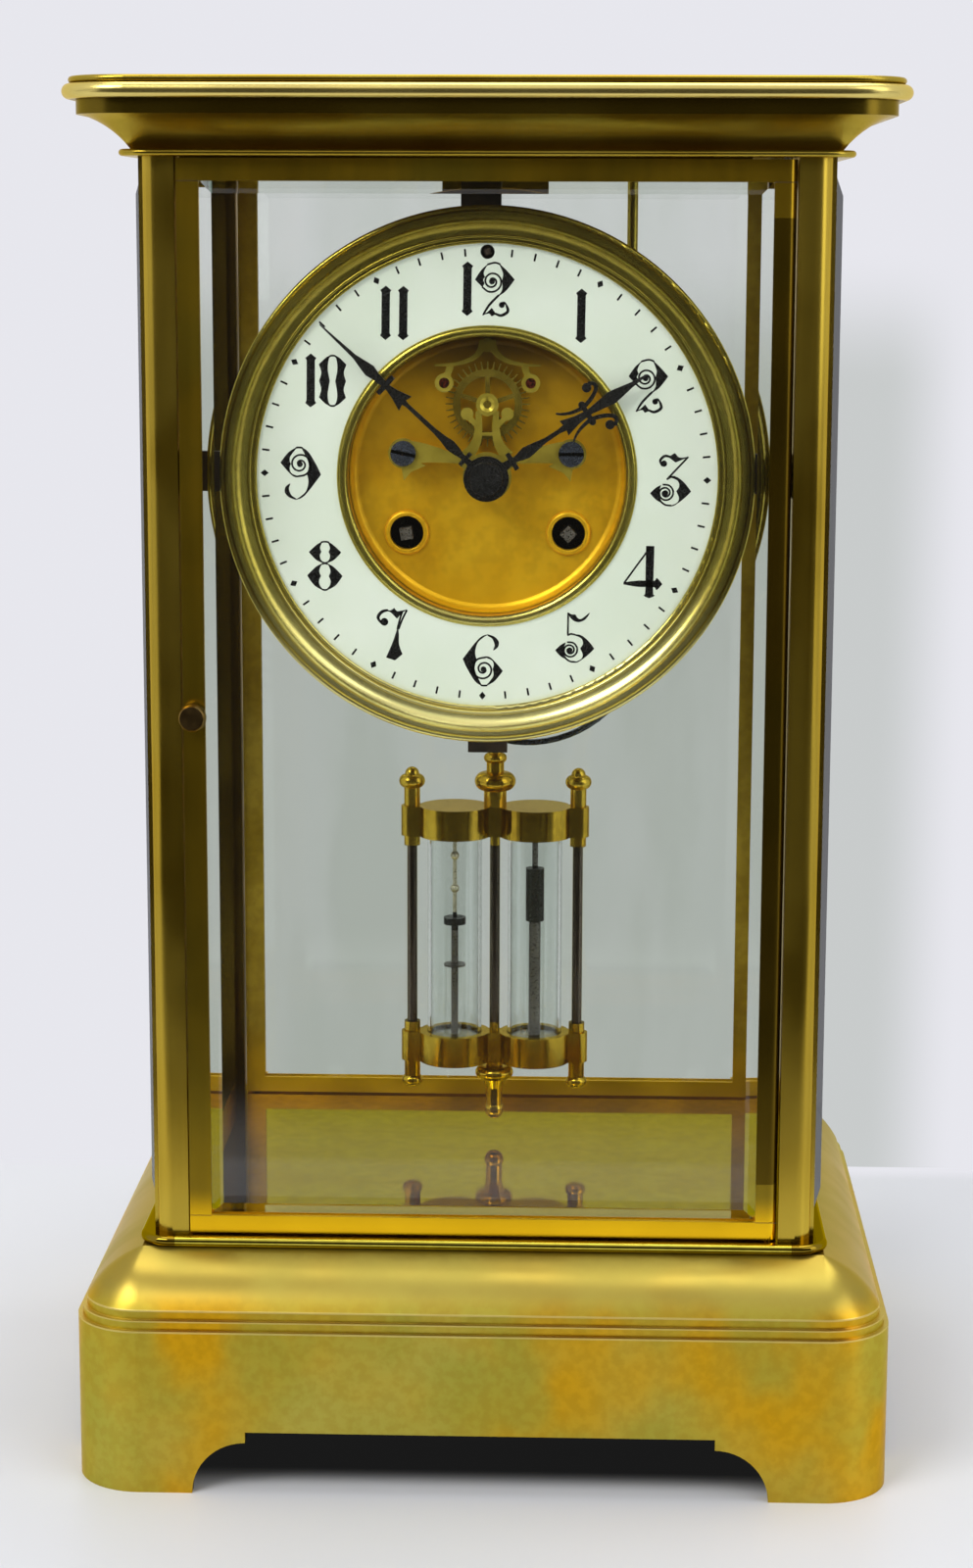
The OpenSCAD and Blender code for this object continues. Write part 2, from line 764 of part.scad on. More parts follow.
module side_frame() {
  difference() {
    translate([side_in_x, -side_half, floor_z]) cube([side_t, 2 * side_half, post_h]);
    translate([side_in_x - over, -side_open_y, side_open_z0])
      cube([side_t + 2 * over, 2 * side_open_y, side_open_z1 - side_open_z0]);
    translate([side_seat_x, -side_open_y - side_seat, side_open_z0 - side_seat])
      cube([side_t, 2 * (side_open_y + side_seat), side_open_z1 - side_open_z0 + 2 * side_seat]);
    at_dial() for (u = [-1, 1])
      translate([side_in_x - over, u * strap_w / 4, bracket_screw_f])
        rotate([0, 90, 0]) cylinder(h = screw_reach + over, r = screw_shank_r + fixed_fit);
  }
}

module side_frames() {
  color("sienna") for (s = [0, 1]) mirror([s, 0, 0]) side_frame();
}

module side_glasses() {
  w = 2 * (side_open_y + side_seat - glass_clear);
  h = side_open_z1 - side_open_z0 + 2 * (side_seat - glass_clear);
  color("honeydew", 0.35) for (s = [-1, 1])
    translate([s * (side_seat_x + side_glass_t), 0, (side_open_z0 + side_open_z1) / 2])
      rotate(90 * s) bevelled_plate(w, h, side_glass_t, side_bevel_w, side_bevel_d);
}

door_half = half_w - post_w - door_gap;
door_z0 = floor_z + door_lift;
door_z1 = ceil_z - door_lift;
sight_half = door_half - stile_w;
sight_z0 = door_z0 + bottom_rail;
sight_z1 = door_z1 - top_rail;
hinge_x = door_half - hinge_in;
hinge_y = half_d - hinge_in;
knob_x = door_half - stile_w / 2;
knob_z = floor_z + knob_h;

// Plan of a door, rounded about its hinge pin at the front right
module door_plan() {
  difference() {
    translate([-door_half, -half_d]) square([2 * door_half, door_t]);
    translate([hinge_x, -half_d - over]) square(hinge_in + over);
  }
  translate([hinge_x, -hinge_y]) circle(hinge_in);
}

// Soldered frame with a groove for the glass, cleared for its pins and knob
module door_frame() {
  difference() {
    translate([0, 0, door_z0]) linear_extrude(door_z1 - door_z0) door_plan();
    translate([-sight_half, -half_d - over, sight_z0])
      cube([2 * sight_half, door_t + 2 * over, sight_z1 - sight_z0]);
    translate([-sight_half - groove, door_lip - half_d, sight_z0 - groove])
      cube([2 * (sight_half + groove), door_glass_t, sight_z1 - sight_z0 + 2 * groove]);
    for (z = [door_z0 - over, door_z1 - hinge_reach])
      translate([hinge_x, -hinge_y, z]) cylinder(h = hinge_reach + over, r = hinge_r + fixed_fit);
    translate([-knob_x, -half_d - over, knob_z])
      rotate([-90, 0, 0]) cylinder(h = door_lip + 2 * over + groove, r = knob_neck + fixed_fit);
  }
}

module door_glass() {
  w = 2 * (sight_half + groove - glass_clear);
  h = sight_z1 - sight_z0 + 2 * (groove - glass_clear);
  translate([0, door_lip - half_d + glass_clear / 2, (sight_z0 + sight_z1) / 2])
    bevelled_plate(w, h, door_glass_t - glass_clear, door_bevel_w, door_bevel_d);
}

// Turned pull knob on the free stile, with its shank in the frame
module door_knob() {
  flat_share = 0.45;
  collar_w = 0.9;
  collar_h = 0.6;
  crown = knob_out - knob_r * (1 - flat_share);
  translate([-knob_x, -half_d, knob_z]) rotate([90, 0, 0]) {
    rotate_extrude() {
      square([knob_neck, crown]);
      intersection() {
        translate([0, crown]) circle(knob_r);
        translate([0, crown - knob_r * flat_share]) square(knob_r);
      }
      square([knob_neck + collar_w, collar_h]);
    }
    translate([0, 0, -door_lip - groove / 2]) cylinder(h = door_lip + groove, r = knob_neck);
  }
}

module door_pins() {
  for (z = [floor_z - hinge_seat, door_z1 - hinge_reach])
    translate([hinge_x, -hinge_y, z]) cylinder(h = hinge_reach + door_lift + hinge_seat, r = hinge_r);
}

module front_door_frame() { color("peru") door_frame(); }
module front_glass() { color("aliceblue", 0.3) door_glass(); }
module front_knob() { color("gold") door_knob(); }
module front_hinge_pins() { color("gray") door_pins(); }
module rear_door_frame() { color("peru") rotate(180) door_frame(); }
module rear_glass() { color("aliceblue", 0.3) rotate(180) door_glass(); }
module rear_knob() { color("gold") rotate(180) door_knob(); }
module rear_hinge_pins() { color("gray") rotate(180) door_pins(); }

screw_shank_r = 1;
screw_reach = 2.5;
foot_head_r = 1.76;
strap_lap = 5.5;
hanger_low = ring_r - strap_lap;
hanger_screw_y = -(train_f - hanger_foot / 2);
bracket_in = plate_disc_r + strap_t;
bracket_foot_f = half_d - post_w - gap;
bracket_screw_f = half_d - post_w - side_member / 2;
ring_screw_at = ring_r - strap_lap / 2;
bracket_screw_x = bracket_in + screw_head_r + 2 * gap;

module hanger_screw_hole(z0, z1) {
  translate([-hanger_shift, hanger_screw_y, z0]) cylinder(h = z1 - z0, r = screw_shank_r + fixed_fit);
}

// Holes for the screws that hold the straps to the ring
module strap_holes() {
  at_dial(train_f - over) {
    for (p = [[-hanger_shift, ring_screw_at], [bracket_screw_x, 0], [-bracket_screw_x, 0]])
      translate(p) cylinder(h = strap_t + screw_reach + gap + over, r = screw_shank_r + fixed_fit);
  }
}

module movement_ring() {
  lug_low = ring_r + strap_lap;
  color("#3a2f28") difference() {
    at_dial(front_plate_f) difference() {
      union() {
        cylinder(h = ring_t, r = ring_r, $fn = 96);
        translate([-strap_w / 2, -lug_low, 0]) cube([strap_w, lug_low, ring_t / 2]);
      }
      translate([0, 0, -over]) cylinder(h = ring_t + 2 * over, r = ring_in, $fn = 96);
    }
    dial_bar(rate_at, rate_r + run_fit, front_plate_f - over, ring_f + over);
    strap_holes();
  }
}

module top_hanger() {
  top = ceil_z - dial_z;
  color("#2d2622") difference() {
    at_dial(front_plate_f - strap_t) {
      translate([-hanger_shift - strap_w / 2, hanger_low, 0]) cube([strap_w, top - hanger_low, strap_t]);
      translate([-hanger_shift - strap_w / 2, top - strap_t, strap_t - hanger_foot])
        cube([strap_w, strap_t, hanger_foot]);
    }
    hanger_screw_hole(ceil_z - strap_t - over, ceil_z + over);
    strap_holes();
  }
}

module side_brackets() {
  color("#2d2622") difference() {
    at_dial() for (s = [0, 1]) mirror([s, 0, 0]) difference() {
      union() {
        translate([bracket_in, -strap_w / 2, front_plate_f - strap_t])
          cube([side_in_x - bracket_in, strap_w, strap_t]);
        translate([side_in_x - bracket_foot_t, -strap_w / 2, front_plate_f - strap_t])
          cube([bracket_foot_t, strap_w, bracket_foot_f - front_plate_f + strap_t]);
      }
      for (u = [-1, 1])
        translate([bracket_in, u * strap_w / 4, bracket_screw_f])
          rotate([0, 90, 0]) cylinder(h = side_in_x, r = screw_shank_r + fixed_fit);
    }
    strap_holes();
  }
}

// Cheese-head screw along +Z with its head over z = 0
module cheese_screw(head_r, head_h, shank_r, reach) {
  slot_share = 0.28;
  slot_w = head_r * slot_share;
  difference() {
    cylinder(h = head_h, r = head_r);
    translate([-head_r - over, -slot_w / 2, head_h / 2]) cube([2 * (head_r + over), slot_w, head_h]);
  }
  translate([0, 0, -reach]) cylinder(h = reach + head_h / 4, r = shank_r);
}

module movement_screws() {
  color("slategray") {
    at_dial(front_plate_f - strap_t)
      for (p = [[-hanger_shift, ring_screw_at], [bracket_screw_x, 0], [-bracket_screw_x, 0]])
        translate(p) rotate([180, 0, 0])
          cheese_screw(screw_head_r, screw_head_h, screw_shank_r, strap_t + screw_reach);
    at_dial() for (s = [0, 1]) mirror([s, 0, 0]) for (u = [-1, 1])
      translate([side_in_x - bracket_foot_t, u * strap_w / 4, bracket_screw_f]) rotate([0, -90, 0])
        cheese_screw(foot_head_r, screw_head_h, screw_shank_r, bracket_foot_t + screw_reach);
    translate([-hanger_shift, hanger_screw_y, ceil_z - strap_t]) rotate([180, 0, 0])
      cheese_screw(screw_head_r, screw_head_h, screw_shank_r, strap_t + ceil_t);
    at_dial(back_f) for (a = pillar_angles)
      rotate(a) translate([pillar_at, 0, 0]) rotate([180, 0, 0])
        cheese_screw(screw_head_r, screw_head_h, screw_shank_r, plate_t + screw_reach);
    at_dial(cock_f) for (s = [-1, 1])
      translate([s * cock_screw_x, cock_screw_up, 0]) rotate([180, 0, 0])
        cheese_screw(screw_head_r, screw_head_h, screw_shank_r, cock_t + plate_t);
  }
}

// Section of the bezel: wall, outer bead, fillet, cove, ridge and inner lip
module bezel_section() {
  bore = enamel_r + gap;
  lip_lift = 0.1;
  lip_f = enamel_f + lip_lift;
  rim_t = 1.2;
  rim_set = 0.5;
  bead_r = 0.7;
  ridge_r = 0.4;
  lip_r = 0.5;
  fillet_in = 2.1;
  crest_in = 2.8;
  cove_in = 6.4;
  cove_r = 3.6;
  crest = [bezel_r - crest_in, enamel_f + bezel_rise];
  cove_foot = [bezel_r - cove_in, lip_f + 3 * ridge_r];
  groove_x = bezel_r - 3 * bead_r + gap;
  translate([bore, ring_f]) square([bezel_r - bore, rim_t]);
  translate([bore, ring_f]) square([bezel_r - bore - rim_set, lip_f - ring_f]);
  translate([bezel_r - bead_r, lip_f + bead_r / 2]) circle(bead_r);
  difference() {
    polygon([
      [bezel_in + lip_r, lip_f], [bezel_r - bead_r, lip_f], [bezel_r - bead_r, lip_f + bead_r],
      [groove_x, lip_f + bead_r], [groove_x, lip_f + 3 * bead_r],
      [bezel_r - fillet_in, lip_f + 3 * bead_r], [bezel_r - fillet_in, crest[1]], crest, cove_foot,
      [cove_foot[0], lip_f + 2 * ridge_r], [bezel_in + lip_r, lip_f + 2 * ridge_r]
    ]);
    translate(arc_centre(cove_foot, crest, cove_r)) circle(cove_r);
  }
  translate([cove_foot[0], cove_foot[1]]) circle(ridge_r);
  translate([bezel_in + lip_r, lip_f + lip_r]) circle(lip_r);
}

module bezel() {
  color("goldenrod") at_dial() rotate_extrude($fn = 128) bezel_section();
}

module dial() {
  color("ivory") difference() {
    at_dial(seat_f) difference() {
      cylinder(h = enamel_t, r = enamel_r, $fn = 128);
      translate([0, 0, -over]) cylinder(h = enamel_t + 2 * over, r = enamel_in, $fn = 96);
    }
    dial_bar(rate_at, rate_hole_r, seat_f - over, enamel_f + over);
  }
}

module dial_ring() {
  wall = enamel_in - gap / 2 - centre_ring_in;
  lap = enamel_in + centre_ring_lap - centre_ring_in;
  crown_r = bulge_radius([0, 0], [lap, 0], centre_ring_rise);
  color("darkgoldenrod") at_dial() rotate_extrude($fn = 128) {
    translate([centre_ring_in, pan_f]) square([wall, enamel_f - pan_f + centre_ring_rise / 4]);
    translate([centre_ring_in, enamel_f]) intersection() {
      translate([lap / 2, centre_ring_rise - crown_r]) circle(crown_r);
      square([lap, centre_ring_rise]);
    }
  }
}

bridge_shank_r = 1.1;
bridge_post_r = 2.2;
bridge_hole_r = 3.4;
pan_hole_r = 3.6;

// Section of the curve that leads from the pan's floor to the centre ring
module pan_cove() {
  sink = 0.1;
  translate([centre_ring_in - gap / 4 - pan_cove_r, 0]) difference() {
    translate([0, -pan_t / 2]) square([pan_cove_r, pan_cove_h + pan_t / 2]);
    translate([0, pan_cove_r - sink]) circle(pan_cove_r);
  }
}

// Section of the raised collar round a winding hole
module wind_collar() {
  crown_r = 0.75;
  inner_r = wind_hole_r - gap;
  translate([wind_collar_r - crown_r, wind_collar_h - crown_r]) circle(crown_r);
  translate([inner_r, -pan_t / 2])
    square([wind_collar_r - inner_r, wind_collar_h - crown_r + pan_t / 2]);
}

module dial_pan() {
  color("darkorange") difference() {
    union() {
      at_dial(ring_f) difference() {
        cylinder(h = seat_f - ring_f, r = enamel_r, $fn = 128);
        translate([0, 0, pan_t]) cylinder(h = pan_depth + over, r = enamel_in - gap / 4, $fn = 96);
        translate([0, 0, -over]) cylinder(h = pan_t + 2 * over, r = pan_hole_r);
      }
      at_dial(pan_f) rotate_extrude($fn = 96) pan_cove();
      for (p = [going_at, strike_at]) at_dial(pan_f) translate(p) rotate_extrude() wind_collar();
    }
    for (p = [going_at, strike_at])
      dial_bar(p, wind_hole_r, ring_f - over, pan_f + wind_collar_h + over);
    dial_bar(escape_at, arbor_r + gap, ring_f - over, pan_f + over);
    dial_bar(pallet_at, arbor_r + gap, ring_f - over, pan_f + over);
    dial_bar(rate_at, rate_hole_r, ring_f - over, seat_f + over);
    for (s = [-1, 1])
      dial_bar([s * bridge_x, bridge_up], bridge_shank_r + fixed_fit, ring_f - over, pan_f + over);
  }
}

// Half of the bridge's outline: foot with its eye and horn, and one lyre arm with its scroll
module bridge_half() {
  steps = 12;
  eye = [bridge_x, bridge_up];
  eye_r = 3.2;
  root = [5, 3.4];
  foot_w = 5.6;
  root_w = 1.4;
  arm_foot = [4.6, 4.2];
  arm_head = [1.9, escape_up - 1.4];
  arm_w = 2.7;
  stem_w = 1.2;
  scroll = [4.3, escape_up - 2];
  scroll_r = 1.35;
  bar_up = escape_up - 6.6;
  bar_w = 0.7;
  foot = curve(eye, eye + [-4, 0.6], root + [4.5, 0.9], root, steps);
  polygon(ribbon(foot, taper(foot_w, root_w, steps)));
  polygon(ribbon([root, [0, 0]], [2 * root_w, bridge_hole_r]));
  translate(eye) circle(eye_r);
  polygon([eye + [-4.8, -2.6], eye + [-1.6, -4], eye + [-0.1, -5.8], eye + [0.4, -2.8], eye]);
  arm = curve(arm_foot, [2.2, 6.4], [1.5, 8.6], arm_head, steps);
  polygon(ribbon(arm, taper(arm_w, stem_w, steps)));
  stem = curve([1.9, 9.6], [1.9, 11.6], [3.2, 11.2], scroll, steps);
  polygon(ribbon(stem, taper(stem_w, stem_w, steps)));
  translate(scroll) circle(scroll_r);
  translate([0, bar_up]) square([arm_head[0], bar_w]);
}

module escapement_bridge() {
  boss_r = 2.4;
  boss_rise = 0.3;
  sink_r = 1.6;
  sink_d = 0.5;
  hub_r = 5.2;
  top = bridge_f + bridge_t;
  color("gold") difference() {
    union() {
      at_dial(bridge_f) linear_extrude(bridge_t) {
        for (s = [0, 1]) mirror([s, 0, 0]) bridge_half();
        circle(hub_r);
      }
      dial_bar(escape_at, boss_r, bridge_f, top + boss_rise);
      for (s = [-1, 1]) dial_bar([s * bridge_x, bridge_up], bridge_post_r, pan_f, bridge_f + bridge_t / 2);
    }
    dial_bar([0, 0], bridge_hole_r, bridge_f - over, top + over);
    dial_bar(escape_at, arbor_r + run_fit, bridge_f - over, top + over);
    at_dial(top + boss_rise - sink_d) translate(escape_at)
      cylinder(h = sink_d + fixed_fit, r1 = arbor_r + run_fit, r2 = sink_r);
    for (s = [-1, 1])
      dial_bar([s * bridge_x, bridge_up], bridge_shank_r + fixed_fit, pan_f - over, top + over);
  }
}

module bridge_screws() {
  head_h = 0.9;
  slot_turn = -12;
  reach = bridge_f + bridge_t - pan_f + pan_t / 2;
  color("steelblue") at_dial(bridge_f + bridge_t) for (s = [-1, 1])
    translate([s * bridge_x, bridge_up, 0]) rotate(s < 0 ? slot_turn : 0)
      cheese_screw(bridge_head_r, head_h, bridge_shank_r, reach);
}

// Spoked wheel with a toothed rim, lying on z = 0
module toothed_wheel(teeth, mod, start, spokes) {
  rim_w = 1.4;
  hub_r = 2.6;
  spoke_w = 1.2;
  rim_in = (teeth / 2 - tooth_ded) * mod - rim_w;
  linear_extrude(wheel_t) {
    difference() {
      polygon(gear_points(teeth, mod, start, tooth_tip, tooth_root));
      circle(rim_in);
    }
    circle(hub_r);
    for (k = [0 : spokes - 1])
      rotate(k * 360 / spokes) translate([0, -spoke_w / 2]) square([rim_in + rim_w / 3, spoke_w]);
  }
}

module pinion(leaves, mod, start, length) {
  linear_extrude(length) polygon(gear_points(leaves, mod, start, leaf_tip, leaf_root));
}

// Angle of a pinion's first leaf so that a gap faces its wheel
function leaf_start(place, wheel_at, leaves) = angle_to(place, wheel_at) + 180 / leaves;

module escape_wheel() {
  root_w = 0.5;
  tip_w = 0.2;
  rim_w = 1.6;
  hub_r = 1.9;
  spoke_w = 1;
  spokes = 5;
  tooth_foot = escape_rim - rim_w / 4;
  color("goldenrod") {
    at_dial(escape_f) translate(escape_at) linear_extrude(wheel_t) {
      difference() {
        circle(escape_rim);
        circle(escape_rim - rim_w);
      }
      circle(hub_r);
      for (k = [0 : spokes - 1])
        rotate(90 + k * 360 / spokes) translate([0, -spoke_w / 2]) square([escape_rim - rim_w / 2, spoke_w]);
      for (k = [0 : escape_teeth - 1])
        rotate(k * 360 / escape_teeth)
          polygon([
            [tooth_foot, -root_w / 2], [escape_r, -tip_w / 2], [escape_r, tip_w / 2], [tooth_foot, root_w / 2]
          ]);
    }
    dial_bar(escape_at, arbor_r, back_plate_f - plate_t * pivot_share, bridge_f + bridge_t / 2);
    at_dial(third_wheel_f - (pinion_len - wheel_t) / 2) translate(escape_at)
      pinion(escape_leaves, third_mod, leaf_start(escape_at, third_at, escape_leaves), pinion_len);
  }
}

stone_seat_r = 1.1;
stone_rise = 0.2;

// One swept pallet arm, from the arbor out to its point, with a neck down to the stone's boss
module pallet_arm() {
  steps = 12;
  arm_w = 1.7;
  tip_w = 0.4;
  neck_w = 1.4;
  tip = [stone_x + 2, stone_up + 3.7];
  elbow = [stone_x - 1.4, tip[1] - 0.1];
  sweep_line = curve([0.9, pallet_up + 1], [1.2, pallet_up - 2.6], [4, tip[1]], tip, steps);
  polygon(ribbon(sweep_line, taper(arm_w, tip_w, steps)));
  polygon(ribbon([elbow, [stone_x, stone_up]], [neck_w, neck_w]));
  translate([stone_x, stone_up]) circle(stone_boss_r);
}

module pallet_anchor() {
  hub_r = 1.5;
  nose = 0.3;
  color("goldenrod") difference() {
    union() {
      at_dial(anchor_f) linear_extrude(anchor_t) {
        for (s = [0, 1]) mirror([s, 0, 0]) pallet_arm();
        translate(pallet_at) circle(hub_r);
      }
      dial_bar(pallet_at, arbor_r, crutch_f, anchor_top + nose);
    }
    for (s = [-1, 1])
      dial_bar([s * stone_x, stone_up], stone_seat_r + fixed_fit, anchor_f - over, anchor_top + over);
  }
}

module pallet_stones() {
  pin_share = 0.8;
  pin_f = escape_f + wheel_t * (1 - pin_share) - layer_apart;
  color("firebrick") for (s = [-1, 1]) {
    dial_bar([s * stone_x, stone_up], stone_seat_r, anchor_f + stone_rise, anchor_top - stone_rise);
    dial_bar([s * stone_x, stone_up], stone_r, pin_f, anchor_f + 2 * stone_rise);
  }
}

crutch_set = 6.4;
crutch_f = back_f - crutch_set;
crutch_t = 2;
fork_down = 14;
fork_play = 0.1;

module crutch() {
  fork_in = pend_rod_r + gap + fork_play;
  stem_w = 2;
  hub_r = 2.4;
  prong_w = 1.2;
  low = -fork_down - stem_w / 2;
  color("darkgoldenrod") difference() {
    union() {
      dial_bar(pallet_at, hub_r, crutch_f, crutch_f + crutch_t);
      at_dial(crutch_f) translate([-stem_w / 2, low, 0]) cube([stem_w, pallet_up - low, crutch_t]);
      at_dial(crutch_f) translate([-fork_in - prong_w, low, 0])
        cube([2 * (fork_in + prong_w), stem_w, crutch_t]);
      for (s = [0, 1]) mirror([s, 0, 0])
        at_dial(-pend_y - pend_rod_r) translate([fork_in, low, 0])
          cube([prong_w, stem_w, crutch_f + crutch_t + pend_y + pend_rod_r]);
    }
    dial_bar(pallet_at, arbor_r + fixed_fit, crutch_f - over, crutch_f + crutch_t + over);
  }
}

// Holes that both movement plates share
module arbor_holes(f0, f1) {
  for (p = [intermediate_at, third_at, escape_at, pallet_at, pin_wheel_at, [0, 0]])
    dial_bar(p, arbor_r + run_fit, f0, f1);
  dial_bar(hammer_at, hammer_arbor_r + run_fit, f0, f1);
  dial_bar(rate_at, rate_r + gap, f0, f1);
}

hammer_arbor_r = 1;
wind_pivot_r = 1.2;
stud_r = 1;

module front_plate() {
  color("darkgoldenrod") {
    difference() {
      at_dial(train_f) cylinder(h = plate_t, r = plate_disc_r, $fn = 96);
      arbor_holes(train_f - over, front_plate_f + over);
      for (p = [going_at, strike_at]) dial_bar(p, wind_r + run_fit, train_f - over, front_plate_f + over);
    }
    dial_bar(minute_wheel_at, stud_r, front_plate_f - plate_t / 2, ring_f - gap);
  }
}

module back_plate() {
  color("goldenrod") difference() {
    at_dial(back_f) cylinder(h = plate_t, r = plate_disc_r, $fn = 96);
    arbor_holes(back_f - over, back_plate_f + over);
    for (p = [going_at, strike_at]) dial_bar(p, wind_pivot_r + run_fit, back_f - over, back_plate_f + over);
    at_dial(back_f - over) for (a = pillar_angles)
      rotate(a) translate([pillar_at, 0, 0]) cylinder(h = plate_t + 2 * over, r = screw_shank_r + fixed_fit);
    cock_screw_holes(back_f - over, back_plate_f + over);
  }
}

module pillars() {
  waist_share = 0.72;
  waist = pillar_r * waist_share;
  collar = 4;
  color("gold") at_dial(back_plate_f) for (a = pillar_angles)
    rotate(a) translate([pillar_at, 0, 0]) difference() {
      union() {
        cylinder(h = plate_gap, r = waist);
        for (z = [0, plate_gap - collar]) translate([0, 0, z]) cylinder(h = collar, r = pillar_r);
        translate([0, 0, plate_gap / 2 - collar / 4]) cylinder(h = collar / 2, r = pillar_r);
      }
      translate([0, 0, -over]) cylinder(h = screw_reach + over + gap, r = screw_shank_r + fixed_fit);
    }
}

// Spring barrel: a hollow drum with a toothed end plate
module barrel(place, ring_at, mate_at) {
  cap = 1.2;
  difference() {
    union() {
      dial_bar(place, drum_r, drum_f, going_ring_f);
      at_dial(ring_at) translate(place) linear_extrude(ring_len)
        polygon(gear_points(barrel_teeth, barrel_mod, angle_to(place, mate_at), tooth_tip, tooth_root));
    }
    dial_bar(place, drum_r - drum_wall, drum_f + cap, going_ring_f - cap);
    dial_bar(place, wind_r + run_fit, strike_ring_f - over, train_f);
  }
}

module going_barrel() { color("goldenrod") barrel(going_at, going_ring_f, intermediate_at); }
module strike_barrel() { color("goldenrod") barrel(strike_at, strike_ring_f, pin_wheel_at); }

// Wound ribbon between the arbor and the drum's wall
module mainspring(place) {
  end_room = 2;
  outer = drum_r - drum_wall - gap - ribbon_t;
  inner = wind_r + gap + ribbon_t;
  steps = 20 * ribbon_turns;
  path = [for (i = [0 : steps])
    let (a = 360 * ribbon_turns * i / steps, r = inner + (outer - inner) * i / steps) r * [cos(a), sin(a)]];
  at_dial(drum_f + end_room) translate(place)
    linear_extrude(drum_len - 2 * end_room) polygon(ribbon(path, taper(ribbon_t, ribbon_t, steps)));
}

module going_mainspring() { color("lightslategray") mainspring(going_at); }
module strike_mainspring() { color("lightslategray") mainspring(strike_at); }

module winding_arbor(place, turn) {
  end_play = 0.5;
  shoulder_lift = 0.7;
  shoulder = front_plate_f + shoulder_lift;
  ratchet_t = 1.4;
  ratchet_teeth = 16;
  tooth_lean = 0.92;
  tooth_cut = 1.1;
  square_out = 3.2;
  dial_bar(place, wind_r, back_plate_f + end_play, shoulder);
  dial_bar(place, wind_pivot_r, back_f + end_play / 2, back_plate_f + 2 * end_play);
  at_dial(shoulder) translate(place) linear_extrude(ratchet_t)
    polygon([for (k = [0 : ratchet_teeth - 1]) for (j = [0, 1])
      let (a = (k + j * tooth_lean) * 360 / ratchet_teeth, r = ratchet_r - tooth_cut * (1 - j))
        r * [cos(a), sin(a)]]);
  at_dial(shoulder) translate(place) rotate(turn) translate([-wind_square / 2, -wind_square / 2, 0])
    cube([wind_square, wind_square, pan_f + square_out - shoulder]);
}

module going_winding_arbor() { color("dimgray") winding_arbor(going_at, 45); }
module strike_winding_arbor() { color("dimgray") winding_arbor(strike_at, 10); }

// Arbor that runs between the plates with both its ends in their holes
module plate_arbor(place) {
  dial_bar(place, arbor_r, back_plate_f - plate_t * pivot_share, train_f + plate_t * pivot_share);
}

module intermediate_wheel() {
  start = leaf_start(intermediate_at, going_at, barrel_leaves);
  color("goldenrod") {
    plate_arbor(intermediate_at);
    at_dial(intermediate_f) translate(intermediate_at)
      toothed_wheel(intermediate_teeth, intermediate_mod, angle_to(intermediate_at, [0, 0]), 5);
    at_dial(going_ring_f - gap) translate(intermediate_at)
      pinion(barrel_leaves, barrel_mod, start, ring_len + 2 * gap);
  }
}

cannon_r = 1.6;
cannon_lift = 0.4;
cannon_len = 1.4;
hand_seat_r = 1.25;

module centre_arbor() {
  color("goldenrod") {
    dial_bar([0, 0], arbor_r, back_plate_f - plate_t * pivot_share, front_plate_f + 2 * cannon_lift);
    at_dial(centre_wheel_f) toothed_wheel(centre_teeth, centre_mod, angle_to([0, 0], third_at), 4);
    at_dial(intermediate_f - (pinion_len - wheel_t) / 2)
      pinion(centre_leaves, intermediate_mod, leaf_start([0, 0], intermediate_at, centre_leaves), pinion_len);
    at_dial(front_plate_f + cannon_lift)
      pinion(cannon_leaves, cannon_mod, leaf_start([0, 0], minute_wheel_at, cannon_leaves), cannon_len);
    dial_bar([0, 0], cannon_r, front_plate_f + cannon_lift, minute_f);
    dial_bar([0, 0], hand_seat_r, minute_f - over, nut_f + hand_nut_h / 2);
  }
}

module third_wheel() {
  third_over = 0.5;
  color("goldenrod") {
    plate_arbor(third_at);
    at_dial(third_wheel_f) translate(third_at)
      toothed_wheel(third_teeth, third_mod, angle_to(third_at, escape_at), 4);
    at_dial(centre_wheel_f - third_over) translate(third_at)
      pinion(third_leaves, centre_mod, leaf_start(third_at, [0, 0], third_leaves), wheel_t + 2 * third_over);
  }
}

minute_lift = 0.6;
hour_wheel_apart = 0.7;
minute_wheel_f = front_plate_f + minute_lift;
hour_wheel_f = minute_wheel_f + wheel_t + hour_wheel_apart;

module minute_wheel() {
  start = angle_to(minute_wheel_at, [0, 0]);
  leaf_len = 2.4;
  color("goldenrod") difference() {
    at_dial(minute_wheel_f) translate(minute_wheel_at) {
      linear_extrude(wheel_t)
        polygon(gear_points(minute_teeth, cannon_mod, start, tooth_tip, tooth_root));
      translate([0, 0, wheel_t / 2])
        pinion(minute_leaves, hour_mod, leaf_start(minute_wheel_at, [0, 0], minute_leaves), leaf_len);
    }
    dial_bar(minute_wheel_at, stud_r + run_fit, front_plate_f, ring_f);
  }
}

hour_pipe_r = 2.5;

module hour_wheel() {
  start = angle_to([0, 0], minute_wheel_at);
  color("goldenrod") difference() {
    union() {
      at_dial(hour_wheel_f)
        linear_extrude(wheel_t)
          polygon(gear_points(hour_teeth, hour_mod, start, tooth_tip, tooth_root));
      dial_bar([0, 0], hour_pipe_r, hour_wheel_f, hour_f + hand_t);
    }
    dial_bar([0, 0], cannon_r + run_fit, front_plate_f, minute_f + over);
  }
}

// Scroll of a hand along a curve, from width w0 to w1
module hand_curl(a, b, c, d, w0, w1) {
  steps = 10;
  linear_extrude(hand_t) polygon(ribbon(curve(a, b, c, d, steps), taper(w0, w1, steps)));
}

